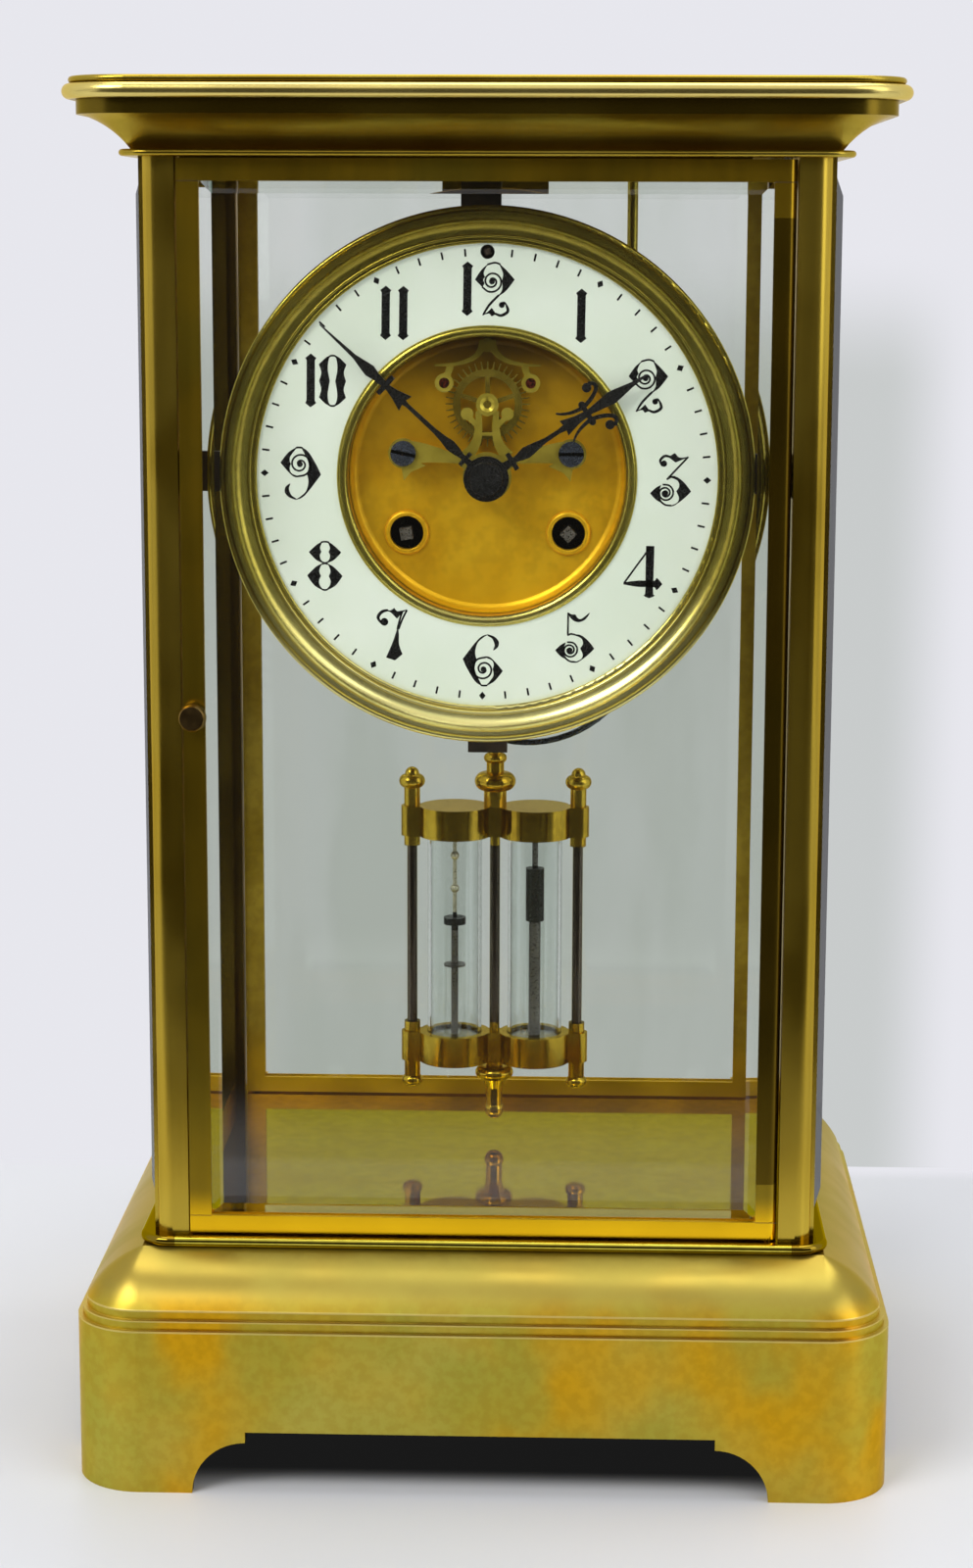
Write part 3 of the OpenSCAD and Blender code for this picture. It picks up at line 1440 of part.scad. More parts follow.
module minute_outline() {
  tip = minute_len;
  polygon(leaf_outline([
    [3, 1], [5.6, 0.6], [7, 0.55], [8.6, 0.9], [10.3, 1.15], [12.4, 0.75], [15, 0.5], [22.6, 0.42],
    [23.6, 0.6], [23.2, 2], [26.4, 0.95], [28.3, 0.6], [28.4, 2.4], [29.4, 2.4], [29.5, 0.7], [31.4, 0.85],
    [33.4, 1.3], [35.3, 0.95], [37.8, 0.45], [42, 0.3], [tip, 0.12]
  ]));
  translate([-1.7, 5.6]) square([3.4, 0.9]);
  circle(3.2);
}

// Height of the hour hand's cross bar
function hour_bar() = hour_len - 15;

module hour_outline() {
  tip = hour_len;
  bar = hour_bar();
  polygon(leaf_outline([
    [3, 1.2], [6.2, 0.7], [7.4, 0.6], [8.6, 0.95], [10, 1.3], [12.2, 0.95], [15, 0.5], [18.2, 0.45],
    [bar - 5.6, 0.7], [bar - 5.8, 1.8], [bar - 2.6, 0.95], [bar - 0.6, 0.7], [bar + 0.8, 0.65],
    [bar + 3, 0.95], [bar + 6.2, 1.4], [bar + 8, 1.1], [bar + 11, 0.55], [tip - 1, 0.25], [tip, 0.12]
  ]));
  translate([-2, 6]) square([4, 1]);
  translate([-2.2, bar - 0.55]) square([4.4, 1.1]);
  for (s = [-1, 1]) translate([s * 2.1, bar]) circle(0.75);
  circle(4);
}

// Two curls that end in balls and two swept-back horns, on both sides of the hour hand
module hour_scrolls() {
  ball_r = 1;
  translate([0, hour_bar(), 0]) for (s = [0, 1]) mirror([s, 0, 0]) {
    hand_curl([1.5, 0], [2, 3], [4, 6.5], [5.2, 3.5], 0.9, 0.8);
    hand_curl([1.5, 0], [1.6, -2.5], [2.3, -4.3], [3.5, -5.6], 0.9, 0.4);
    translate([4.6, 2.8, 0]) cylinder(h = hand_t, r = ball_r);
  }
}

module minute_hand() {
  color("black") difference() {
    at_dial(minute_f) rotate(-minute_at) linear_extrude(hand_t) minute_outline();
    dial_bar([0, 0], hand_seat_r + fixed_fit, minute_f - over, nut_f + over);
  }
}

module hour_hand() {
  color("black") difference() {
    at_dial(hour_f) rotate(-hour_at) {
      linear_extrude(hand_t) hour_outline();
      hour_scrolls();
    }
    dial_bar([0, 0], hour_pipe_r + fixed_fit, hour_f - over, minute_f);
  }
}

module hand_nut() {
  step_in = 0.5;
  step_h = 0.8;
  crown_in = 0.35;
  crown_r = hand_nut_r - 2 * step_in;
  seat_h = hand_nut_h / 2 + fixed_fit;
  color("#111111") at_dial(nut_f) difference() {
    union() {
      cylinder(h = step_h, r = hand_nut_r);
      cylinder(h = 2 * step_h, r = hand_nut_r - step_in);
      translate([0, 0, step_h])
        cylinder(h = hand_nut_h - step_h, r1 = crown_r + crown_in, r2 = crown_r - crown_in);
    }
    translate([0, 0, -over]) cylinder(h = seat_h + over, r = hand_seat_r + fixed_fit);
  }
}

rate_r = 1;
rate_reach = 8;

module rating_arbor() {
  square_side = 1.3;
  square_turn = 20;
  shoulder = seat_f - enamel_t;
  color("dimgray") {
    dial_bar(rate_at, rate_r, cock_f - rate_reach, shoulder);
    at_dial(shoulder - gap) translate(rate_at) rotate(square_turn)
      translate([-square_side / 2, -square_side / 2, 0]) cube([square_side, square_side, 2 * enamel_t - gap]);
  }
}

cock_t = 2;
cock_f = back_f - cock_t;
cock_w = 24;
cock_low = 33;
cock_top = 51;
cock_arm_w = 10;
cock_arm_low = 36;
cock_screw_x = 8;
cock_screw_up = 37.4;
spring_low = 5;
spring_room = 3;
strip_t = 0.2;
strip_w = 4.6;
strip_slot = 0.9;

module cock_screw_holes(f0, f1) {
  for (s = [-1, 1]) dial_bar([s * cock_screw_x, cock_screw_up], screw_shank_r + fixed_fit, f0, f1);
}

// Arm on the back plate that hangs the pendulum
module suspension_cock() {
  color("goldenrod") difference() {
    union() {
      at_dial(cock_f) translate([-cock_w / 2, cock_low, 0]) cube([cock_w, cock_top - cock_low, cock_t]);
      at_dial(-pend_y - strip_w) translate([-cock_arm_w / 2, cock_arm_low, 0])
        cube([cock_arm_w, cock_top - cock_arm_low, cock_f + pend_y + strip_w + cock_t / 2]);
    }
    dial_bar(rate_at, rate_r + run_fit, cock_f - rate_reach - gap, back_f + over);
    at_dial(-pend_y - strip_w / 2) translate([-strip_t / 2 - fixed_fit, cock_arm_low - over, 0])
      cube([strip_t + 2 * fixed_fit, cock_top - cock_arm_low - spring_room + 2 * over, strip_w]);
    cock_screw_holes(cock_f - over, back_f + over);
  }
}

module suspension_spring() {
  color("lightsteelblue") at_dial(-pend_y - strip_w / 2)
    translate([-strip_t / 2, pallet_up - spring_low, 0])
      cube([strip_t, cock_top - spring_room - pallet_up + spring_low, strip_w]);
}

module pin_wheel() {
  pins = 8;
  pin_r = 0.5;
  pin_len = 2;
  pin_at = 6.6;
  rim_mod = 0.28;
  color("goldenrod") {
    plate_arbor(pin_wheel_at);
    at_dial(strike_ring_f - gap) translate(pin_wheel_at)
      pinion(barrel_leaves, pin_mod, leaf_start(pin_wheel_at, strike_at, barrel_leaves), ring_len + 2 * gap);
    at_dial(intermediate_f - over) translate(pin_wheel_at) {
      toothed_wheel(pin_teeth, rim_mod, 0, 4);
      for (k = [0 : pins - 1])
        rotate(k * 360 / pins) translate([pin_at, 0, 0]) cylinder(h = pin_len, r = pin_r);
    }
  }
}

// Rest place of the hammer's head, left of the coil
coil_left = gong_x - (gong_r - gong_step / 2) - wire_r;
head_x = coil_left - hammer_gap;
arm_f = -gong_y;

module hammer() {
  steps = 12;
  hub_r = 2.6;
  arm_t = 2;
  arm_w = 2.4;
  tail_r = 1.8;
  tail_len = 4.2;
  tail_w = [2, 1.2];
  tail_f = intermediate_f + wheel_t;
  seat = [head_x - hammer_len / 2, -gong_down];
  reach = (pin_wheel_at - hammer_at) / dist(hammer_at, pin_wheel_at);
  arm = curve(hammer_at, hammer_at + [-1, -20], seat + [-3, 18], seat, steps);
  color("slategray") {
    dial_bar(hammer_at, hammer_arbor_r, arm_f - arm_t / 2, train_f + plate_t * pivot_share);
    dial_bar(hammer_at, hub_r, arm_f - arm_t / 2, arm_f + arm_t / 2);
    at_dial(arm_f - arm_t / 2) linear_extrude(arm_t) polygon(ribbon(arm, taper(arm_w, arm_w, steps)));
    at_dial(arm_f) translate([head_x - hammer_len, -gong_down, 0]) rotate([0, 90, 0])
      cylinder(h = hammer_len, r = hammer_r);
    at_dial(tail_f) linear_extrude(arm_t / 2)
      polygon(ribbon([hammer_at, hammer_at + tail_len * reach], tail_w));
    dial_bar(hammer_at, tail_r, tail_f, tail_f + arm_t);
  }
}

bob_z = floor_z + bob_h;
lower_bar_z = bob_z;
jar_z = lower_bar_z + bar_t;
upper_bar_z = jar_z + jar_h;
bar_top_z = upper_bar_z + bar_t;

// Turned rod with its knop and lower finial, and the slotted block on the suspension
module pendulum_rod() {
  block_drop = 1.3;
  block_len = 5;
  block_w = 6.4;
  slot_floor = 0.6;
  block_low = pivot_z - block_drop - block_len;
  color("goldenrod") translate([0, pend_y, 0]) {
    difference() {
      translate([-block_w / 2, -block_w / 2, block_low]) cube([block_w, block_w, block_len]);
      translate([-strip_slot / 2, -block_w / 2 - over, block_low + slot_floor])
        cube([strip_slot, block_w + 2 * over, block_len]);
    }
    rotate_extrude() {
      translate([0, bar_top_z]) {
        knop_outline();
        square([pend_rod_r, block_low + gap - bar_top_z]);
      }
      translate([0, lower_bar_z - over]) square([jar_rod_r, bar_top_z - lower_bar_z + 2 * over]);
      translate([0, lower_bar_z]) mirror([0, 1]) finial_outline();
    }
  }
}

// Disc with a round edge, as a section: outer radius r, half thickness e, at height z
module round_disc(r, e, z) {
  translate([0, z - e]) square([r - e, 2 * e]);
  translate([r - e, z]) intersection() {
    circle(e);
    translate([-min(e, r - e), -e]) square([2 * e, 2 * e]);
  }
}

// Section of the vase over the upper bar
module knop_outline() {
  foot_r = 2.7;
  neck_r = 2.1;
  head_r = 2.75;
  bulge_e = 2.2;
  bulge_z = 6;
  head_z = 11.6;
  head_e = 1.2;
  square([foot_r, bulge_z]);
  round_disc(knop_r, bulge_e, bulge_z);
  square([neck_r, head_z]);
  round_disc(head_r, head_e, head_z);
}

// Section of the finial under the lower bar, measured downwards
module finial_outline() {
  neck_r = 2;
  bulge_e = 1.5;
  bulge_z = 3;
  cone_r = 3;
  cone_low = 8;
  tip_r = 2.35;
  square([neck_r, finial_len - tip_r]);
  round_disc(finial_r, bulge_e, bulge_z);
  polygon([[0, bulge_z], [cone_r, bulge_z], [neck_r - gap, cone_low], [0, cone_low]]);
  translate([0, finial_len - tip_r]) intersection() {
    circle(tip_r);
    translate([0, -tip_r]) square([tip_r, 2 * tip_r]);
  }
}

// Bar with two lobes round the jars and round ends at the side rods
module pendulum_bar(z) {
  lobe_r = jar_r + jar_margin;
  translate([0, pend_y, z]) difference() {
    linear_extrude(bar_t) {
      for (s = [-1, 1]) {
        translate([s * jar_x, 0]) circle(lobe_r);
        translate([s * side_rod_x, 0]) circle(bar_end_r);
      }
      translate([-side_rod_x, -bar_end_r]) square([2 * side_rod_x, 2 * bar_end_r]);
    }
    translate([0, 0, -over]) {
      cylinder(h = bar_t + 2 * over, r = jar_rod_r + fixed_fit);
      for (s = [-1, 1]) translate([s * side_rod_x, 0, 0])
        cylinder(h = bar_t + 2 * over, r = jar_rod_r + fixed_fit);
    }
    for (s = [-1, 1]) translate([s * jar_x, 0, z == lower_bar_z ? bar_t - jar_seat : -over])
      cylinder(h = jar_seat + over, r = jar_r + glass_clear);
  }
}

module pendulum_bars() {
  color("gold") for (z = [lower_bar_z, upper_bar_z]) pendulum_bar(z);
}

module pendulum_side_rods() {
  neck_r = 1.9;
  disc_e = 1.7;
  disc_z = 5.9;
  cap_r = 1.7;
  collar_h = 2.4;
  cup_r = 2.5;
  cup_e = 1.4;
  cup_drop = 4.4;
  color("darkgoldenrod") for (s = [-1, 1]) translate([s * side_rod_x, pend_y, 0]) rotate_extrude() {
    translate([0, lower_bar_z - cup_drop]) square([jar_rod_r, bar_top_z - lower_bar_z + cup_drop + disc_z]);
    translate([0, upper_bar_z - collar_h]) square([neck_r, collar_h]);
    translate([0, jar_z]) square([neck_r, collar_h]);
    translate([0, bar_top_z]) {
      square([neck_r, disc_z]);
      round_disc(ball_r, disc_e, disc_z);
      translate([0, disc_z + disc_e]) intersection() {
        circle(cap_r);
        translate([0, -cap_r / 2]) square(2 * cap_r);
      }
    }
    translate([0, lower_bar_z - cup_drop]) square([neck_r, cup_drop]);
    round_disc(cup_r, cup_e, lower_bar_z - cup_drop - cup_e / 2);
  }
}

module pendulum_jars() {
  tall = jar_h + 2 * (jar_seat - glass_clear);
  color("lightcyan", 0.35) for (s = [-1, 1])
    translate([s * jar_x, pend_y, jar_z - jar_seat + glass_clear]) difference() {
      cylinder(h = tall, r = jar_r);
      translate([0, 0, jar_wall]) cylinder(h = tall - 2 * jar_wall, r = jar_r - jar_wall);
    }
}

// Slim columns that stand inside the jars
module jar_columns() {
  thin_r = 0.85;
  hair_r = 0.5;
  bead_r = 1.1;
  bead_at = [0.725, 0.888];
  cap_r = 2.7;
  cap_h = 1.6;
  cap_at = 0.55;
  band_r = 2.6;
  band_t = 0.5;
  band_at = 0.34;
  stem_r = 1.4;
  sleeve_r = 2.2;
  sleeve_at = 0.57;
  sleeve_share = 0.26;
  neck_r = 0.7;
  base = jar_z - jar_seat + glass_clear + jar_wall;
  tall = jar_h + 2 * (jar_seat - glass_clear) - 2 * jar_wall;
  color("dimgray") {
    translate([-jar_x, pend_y, base]) {
      cylinder(h = tall, r = hair_r);
      cylinder(h = tall * cap_at + over, r = thin_r);
      for (a = bead_at) translate([0, 0, tall * a]) sphere(bead_r);
      translate([0, 0, tall * cap_at]) cylinder(h = cap_h, r = cap_r);
      translate([0, 0, tall * band_at]) cylinder(h = band_t, r = band_r);
    }
    translate([jar_x, pend_y, base]) {
      cylinder(h = tall, r = neck_r);
      cylinder(h = tall * sleeve_at + over, r = stem_r);
      translate([0, 0, tall * sleeve_at]) cylinder(h = tall * sleeve_share, r = sleeve_r);
    }
  }
}

// Centre line of the gong: a straight end, then a flat spiral that winds inwards
gong_rings = 24;
gong_count = gong_rings * gong_turns;
function gong_point(i) =
  let (a = -360 * i / gong_rings, r = gong_r - gong_step * i / gong_rings)
    [gong_x + r * cos(a), -gong_down + r * sin(a)];
gong_head = gong_point(0);
gong_path = concat(
  [gong_head + [0, 4 * wire_r], gong_head + [0, 2 * wire_r]],
  [for (i = [0 : gong_count]) gong_point(i)]
);
gong_gap = min([for (i = [0 : gong_count - gong_rings])
  dist(gong_point(i), gong_point(i + gong_rings)) - 2 * wire_r]);
echo(gong_least_gap = gong_gap);
gong_sides = 6;

module gong() {
  last = len(gong_path) - 1;
  points = [for (i = [0 : last]) for (k = [0 : gong_sides - 1])
    let (h = i < 2 ? [0, -1] : heading(gong_path, i), n = [-h[1], h[0]], a = 360 * k / gong_sides)
      let (p = gong_path[i] + wire_r * cos(a) * n) [p[0], p[1], wire_r * sin(a)]];
  walls = [for (i = [0 : last - 1]) for (k = [0 : gong_sides - 1])
    let (a = i * gong_sides + k, b = i * gong_sides + (k + 1) % gong_sides)
      each [[a, b, b + gong_sides], [a, b + gong_sides, a + gong_sides]]];
  ends = [for (k = [1 : gong_sides - 2]) each [
    [0, k + 1, k], [last * gong_sides, last * gong_sides + k, last * gong_sides + k + 1]]];
  color("slategray") at_dial(-gong_y) polyhedron(points, concat(walls, ends));
}

// Rod from the upper plate and the stepped block that holds the gong's end
module gong_stand() {
  block_z = dial_z + gong_head[1] + 4 * wire_r;
  block_side = 3;
  block_x0 = gong_rod_x - block_side;
  block_x1 = gong_head[0] + block_side;
  nose_w = 5;
  nose_back = wire_r + gap;
  collar_h = 2;
  color("goldenrod") {
    translate([gong_rod_x, gong_rod_y, block_z + block_h / 2])
      cylinder(h = cornice_z - block_z - block_h / 2 + nut_h / 2, r = gong_rod_r);
    translate([block_x0, gong_y + nose_back, block_z])
      cube([block_x1 - block_x0, block_d, block_h]);
    translate([block_x1 - nose_w, gong_y - block_d / 2, block_z])
      cube([nose_w, block_d, block_h]);
    translate([gong_rod_x, gong_rod_y, ceil_z - collar_h]) cylinder(h = collar_h, r = nut_r);
    translate([gong_rod_x, gong_rod_y, cornice_z]) cylinder(h = nut_h / 2, r = nut_r, $fn = 6);
  }
}

base_plinth();
lower_plate();
corner_posts();
upper_plate();
cornice();
top_plate();
tie_bolts();
side_frames();
side_glasses();
front_door_frame();
front_glass();
front_knob();
front_hinge_pins();
rear_door_frame();
rear_glass();
rear_knob();
rear_hinge_pins();
movement_ring();
top_hanger();
side_brackets();
movement_screws();
bezel();
dial();
dial_ring();
dial_pan();
escapement_bridge();
bridge_screws();
escape_wheel();
pallet_anchor();
pallet_stones();
crutch();
front_plate();
back_plate();
pillars();
going_barrel();
going_mainspring();
going_winding_arbor();
strike_barrel();
strike_mainspring();
strike_winding_arbor();
intermediate_wheel();
centre_arbor();
third_wheel();
minute_wheel();
hour_wheel();
minute_hand();
hour_hand();
hand_nut();
rating_arbor();
suspension_cock();
suspension_spring();
pin_wheel();
hammer();
pendulum_rod();
pendulum_bars();
pendulum_side_rods();
pendulum_jars();
jar_columns();
gong();
gong_stand();
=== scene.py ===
"""Dresses a four-glass mantel clock: finishes, printed dial, wound gong, light and camera."""

from __future__ import annotations

import logging
import math
from dataclasses import dataclass, field
from enum import Enum
from typing import ClassVar

import bpy
from bpy.types import Material, Node, NodeSocket, Object
from mathutils import Matrix, Vector


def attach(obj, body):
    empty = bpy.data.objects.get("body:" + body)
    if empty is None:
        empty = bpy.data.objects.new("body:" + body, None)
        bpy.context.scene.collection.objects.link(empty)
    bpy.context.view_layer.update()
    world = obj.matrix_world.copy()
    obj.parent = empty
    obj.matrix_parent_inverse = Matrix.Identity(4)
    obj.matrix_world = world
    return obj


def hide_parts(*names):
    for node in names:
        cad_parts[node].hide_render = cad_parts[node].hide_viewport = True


log = logging.getLogger("clock")

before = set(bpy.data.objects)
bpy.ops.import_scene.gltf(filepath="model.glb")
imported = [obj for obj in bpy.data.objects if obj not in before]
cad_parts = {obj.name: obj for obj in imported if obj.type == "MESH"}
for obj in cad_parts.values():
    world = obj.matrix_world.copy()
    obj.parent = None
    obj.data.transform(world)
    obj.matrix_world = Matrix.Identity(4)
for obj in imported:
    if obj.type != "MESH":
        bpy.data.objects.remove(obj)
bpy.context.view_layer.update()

MM = 0.001
DIAL_Z = 217.6
ENAMEL_Y = -45.5

Point = tuple[float, float]
Triple = tuple[float, float, float]
Rgb = Triple
Limits = tuple[float, float]
Outline = list[Point]

WHITE: Rgb = (1.0, 1.0, 1.0)
GLASS_IOR = 1.5
STAND_UP = Matrix.Rotation(math.radians(90), 4, "X")


class Body(Enum):
    """Bodies of the clock that new pieces ride on."""

    CASE = "case"
    FRONT_DOOR = "front_door"
    REAR_DOOR = "rear_door"


class Slot(Enum):
    """Material slots of the record, named in each call that delivers a new piece."""

    BLACK = "black_steel"
    AGED = "aged_brass"
    BLUED = "blued_steel"


class Grain(Enum):
    """Stretch of a metal's fine grain along the three axes."""

    CLOUDY = (1.0, 1.0, 1.0)
    UPRIGHT = (1.0, 1.0, 0.03)
    ALONG = (0.04, 0.04, 1.0)


@dataclass(frozen=True)
class Region:
    """Part of the clock, as limits in millimetres along the axes that bound it."""

    x: Limits | None = None
    y: Limits | None = None
    z: Limits | None = None

    def limits(self) -> list[tuple[int, float, float]]:
        """Returns the number of each bounded axis with the middle and half width of its limits, in metres."""
        bounded = [(axis, pair) for axis, pair in enumerate((self.x, self.y, self.z)) if pair]
        return [(axis, (low + high) / 2 * MM, (high - low) / 2 * MM) for axis, (low, high) in bounded]


@dataclass(frozen=True)
class Mark:
    """Colour that a region of a piece takes, such as painted shade in a hollow, a painted highlight or a worn
    edge.

    Args:
        region: Where the mark lies.
        colour: Its colour.
        share: How strongly it covers the metal.
    """

    region: Region
    colour: Rgb
    share: float = 1.0


@dataclass(frozen=True)
class Fade:
    """Painted shade and painted highlights that a piece takes little by little along its height.

    Args:
        start: Height in millimetres where it starts.
        end: Height where it reaches its full share.
        colour: Its colour.
        share: How strongly it covers the metal at the end.
    """

    start: float
    end: float
    colour: Rgb
    share: float


class Sheet:
    """Node sheet of one material, with short calls to add and join nodes."""

    MIX_INPUTS = (0, 6, 7)
    MIX_RESULT = 2
    NOISE_MIDDLE: Limits = (0.36, 0.64)

    def __init__(self, name: str) -> None:
        """Starts an empty material.

        Args:
            name: Name of the material.
        """
        self.material = bpy.data.materials.new(name)
        self.material.use_nodes = True
        self.tree = self.material.node_tree
        self.tree.nodes.clear()
        self.out = self.tree.nodes.new("ShaderNodeOutputMaterial")
        self.where = self.tree.nodes.new("ShaderNodeTexCoord").outputs["Object"]

    def node(self, kind: str, **sockets: object) -> Node:
        """Adds a node and sets or joins its inputs.

        Args:
            kind: Type of the node.
            sockets: Input names, with _ for a space, and a value or an output socket for each.

        Returns:
            The new node.
        """
        made = self.tree.nodes.new(kind)
        for key, value in sockets.items():
            self.put(made, key.replace("_", " "), value)
        return made

    def put(self, node: Node, key: str | int, value: object) -> None:
        """Sets one input of a node, or joins an output to it."""
        if isinstance(value, NodeSocket):
            self.tree.links.new(value, node.inputs[key])
        else:
            node.inputs[key].default_value = value

    def math(self, operation: str, *values: object) -> NodeSocket:
        """Returns the result of one sum on values or output sockets."""
        made = self.tree.nodes.new("ShaderNodeMath")
        made.operation = operation
        for place, value in enumerate(values):
            self.put(made, place, value)
        return made.outputs[0]

    def axes(self) -> bpy.types.bpy_prop_collection:
        """Returns the object's three coordinates as outputs."""
        return self.node("ShaderNodeSeparateXYZ", Vector=self.where).outputs

    def mapped(self, scale: Triple) -> NodeSocket:
        """Returns the object's coordinates stretched by a scale."""
        made = self.node("ShaderNodeMapping", Vector=self.where)
        made.inputs["Scale"].default_value = scale
        return made.outputs[0]

    def noise(self, scale: float, detail: float, stretch: Triple | None = None) -> NodeSocket:
        """Returns the value of a noise pattern.

        Args:
            scale: Waves in a metre.
            detail: Octaves of the pattern.
            stretch: Stretch of the coordinates along the three axes, or none.

        Returns:
            The pattern's value, around a half.
        """
        where = self.mapped(stretch) if stretch else self.where
        made = self.node("ShaderNodeTexNoise", Vector=where, Scale=scale, Detail=detail)
        return made.outputs[0]

    def blend(self, share: object, first: object, second: object) -> NodeSocket:
        """Returns two colours mixed by a share of the second."""
        made = self.tree.nodes.new("ShaderNodeMix")
        made.data_type = "RGBA"
        colours = [c if isinstance(c, NodeSocket) else (*c, 1.0) for c in (first, second)]
        for key, value in zip(self.MIX_INPUTS, (share, *colours)):
            self.put(made, key, value)
        return made.outputs[self.MIX_RESULT]

    def either(self, share: object, first: Node, second: Node) -> Node:
        """Returns two shaders mixed by a share of the second."""
        made = self.tree.nodes.new("ShaderNodeMixShader")
        for place, value in enumerate((share, first.outputs[0], second.outputs[0])):
            self.put(made, place, value)
        return made

    def glow(self, colour: object) -> Node:
        """Returns a shader that shows a colour as it is, whatever the light."""
        return self.node("ShaderNodeEmission", Color=colour, Strength=1.0)

    def spread(self, value: NodeSocket, source: Limits, target: Limits) -> NodeSocket:
        """Returns a value carried smoothly from one pair of limits to another."""
        made = self.node("ShaderNodeMapRange", Value=value)
        made.interpolation_type = "SMOOTHSTEP"
        for key, number in zip(("From Min", "From Max", "To Min", "To Max"), (*source, *target)):
            made.inputs[key].default_value = number
        return made.outputs[0]

    def span(self, value: NodeSocket, low: float, high: float) -> NodeSocket:
        """Returns the middle of a noise spread between two limits."""
        return self.spread(value, self.NOISE_MIDDLE, (low, high))

    def bump(self, height: NodeSocket, depth: float) -> NodeSocket:
        """Returns a normal bent by a height pattern of the given depth in metres."""
        made = self.node("ShaderNodeBump", Height=height, Strength=1.0, Distance=depth)
        return made.outputs[0]

    def inside(self, region: Region) -> NodeSocket:
        """Returns 1 inside a region and 0 outside it."""
        axes = self.axes()
        tests = [self.math("COMPARE", axes[axis], middle, half) for axis, middle, half in region.limits()]
        result = tests[0]
        for test in tests[1:]:
            result = self.math("MULTIPLY", result, test)
        return result

    def marked(self, colour: NodeSocket, marks: tuple[Mark, ...]) -> NodeSocket:
        """Returns a colour with marks laid over it in turn."""
        for mark in marks:
            share = self.math("MULTIPLY", self.inside(mark.region), mark.share)
            colour = self.blend(share, colour, mark.colour)
        return colour

    def faded(self, colour: NodeSocket, fades: tuple[Fade, ...]) -> NodeSocket:
        """Returns a colour that changes along the height."""
        height = self.axes()["Z"]
        for fade in fades:
            share = self.spread(height, (fade.start * MM, fade.end * MM), (0.0, fade.share))
            colour = self.blend(share, colour, fade.colour)
        return colour

    def finish(self, shader: Node) -> Material:
        """Joins the shader to the output and returns the material."""
        self.tree.links.new(shader.outputs[0], self.out.inputs["Surface"])
        return self.material


@dataclass(frozen=True)
class Brass:
    """Lacquered or aged brass with cloudy tarnish, a brushed grain and worn gloss.

    Args:
        name: Name of the finish.
        clean: Colour of the clean metal.
        tarnish: Colour of the tarnish clouds.
        bloom: Colour of the smaller second bloom.
        clouds: Tarnish clouds in a metre.
        share: How much of the surface the tarnish takes.
        rough: Lowest and highest roughness. Ranges across about 0.27 left thin lines in test renders, so
            none crosses it.
        grain: Way that the fine grain runs.
        metal: Metal share of the shader; the rest is a dull skin of tarnish.
        rim: Tint of the gloss where the metal is seen at a low angle.
        marks: Painted shade in hollows and on shaded sides, painted highlights, worn edges and darker places.
        fades: Painted shade and painted highlights along the height.
    """

    CLOUD_DETAIL = 3.0
    SPOTS_IN_CLOUD = 2.4
    SPOT_DETAIL = 2.0
    SPOT_STRETCH: ClassVar[Triple] = (1.0, 1.3, 0.8)
    SPOT_SHARE = 0.8
    STREAKS = 420.0
    STREAK_DETAIL = 3.0
    STREAK_SHARE = 0.22
    STREAK_SHADE = 0.5
    SCRATCHES = 3600.0
    SCRATCH_DETAIL = 2.0
    SCRATCH_DEPTH = 0.0000005

    name: str
    clean: Rgb
    tarnish: Rgb
    bloom: Rgb
    clouds: float = 26.0
    share: float = 0.6
    rough: Limits = (0.16, 0.27)
    grain: Grain = Grain.CLOUDY
    metal: float = 0.96
    rim: Rgb = (1.0, 0.86, 0.5)
    marks: tuple[Mark, ...] = ()
    fades: tuple[Fade, ...] = ()

    def material(self) -> Material:
        """Returns the finish as a node material."""
        sheet = Sheet(self.name)
        cloud = sheet.noise(self.clouds, self.CLOUD_DETAIL)
        spot = sheet.noise(self.clouds * self.SPOTS_IN_CLOUD, self.SPOT_DETAIL, self.SPOT_STRETCH)
        streak = sheet.noise(self.STREAKS, self.STREAK_DETAIL, self.grain.value)
        scratch = sheet.noise(self.SCRATCHES, self.SCRATCH_DETAIL, self.grain.value)
        dark = tuple(self.STREAK_SHADE * c for c in self.tarnish)
        colour = sheet.blend(sheet.span(cloud, 0.0, self.share), self.clean, self.tarnish)
        colour = sheet.blend(sheet.span(spot, 0.0, self.share * self.SPOT_SHARE), colour, self.bloom)
        colour = sheet.blend(sheet.span(streak, 0.0, self.STREAK_SHARE), colour, dark)
        colour = sheet.marked(sheet.faded(colour, self.fades), self.marks)
        shader = sheet.node("ShaderNodeBsdfPrincipled", Base_Color=colour, Metallic=self.metal)
        shader.inputs["Specular Tint"].default_value = (*self.rim, 1.0)
        sheet.put(shader, "Roughness", sheet.span(spot, *self.rough))
        sheet.put(shader, "Normal", sheet.bump(scratch, self.SCRATCH_DEPTH))
        return sheet.finish(shader)


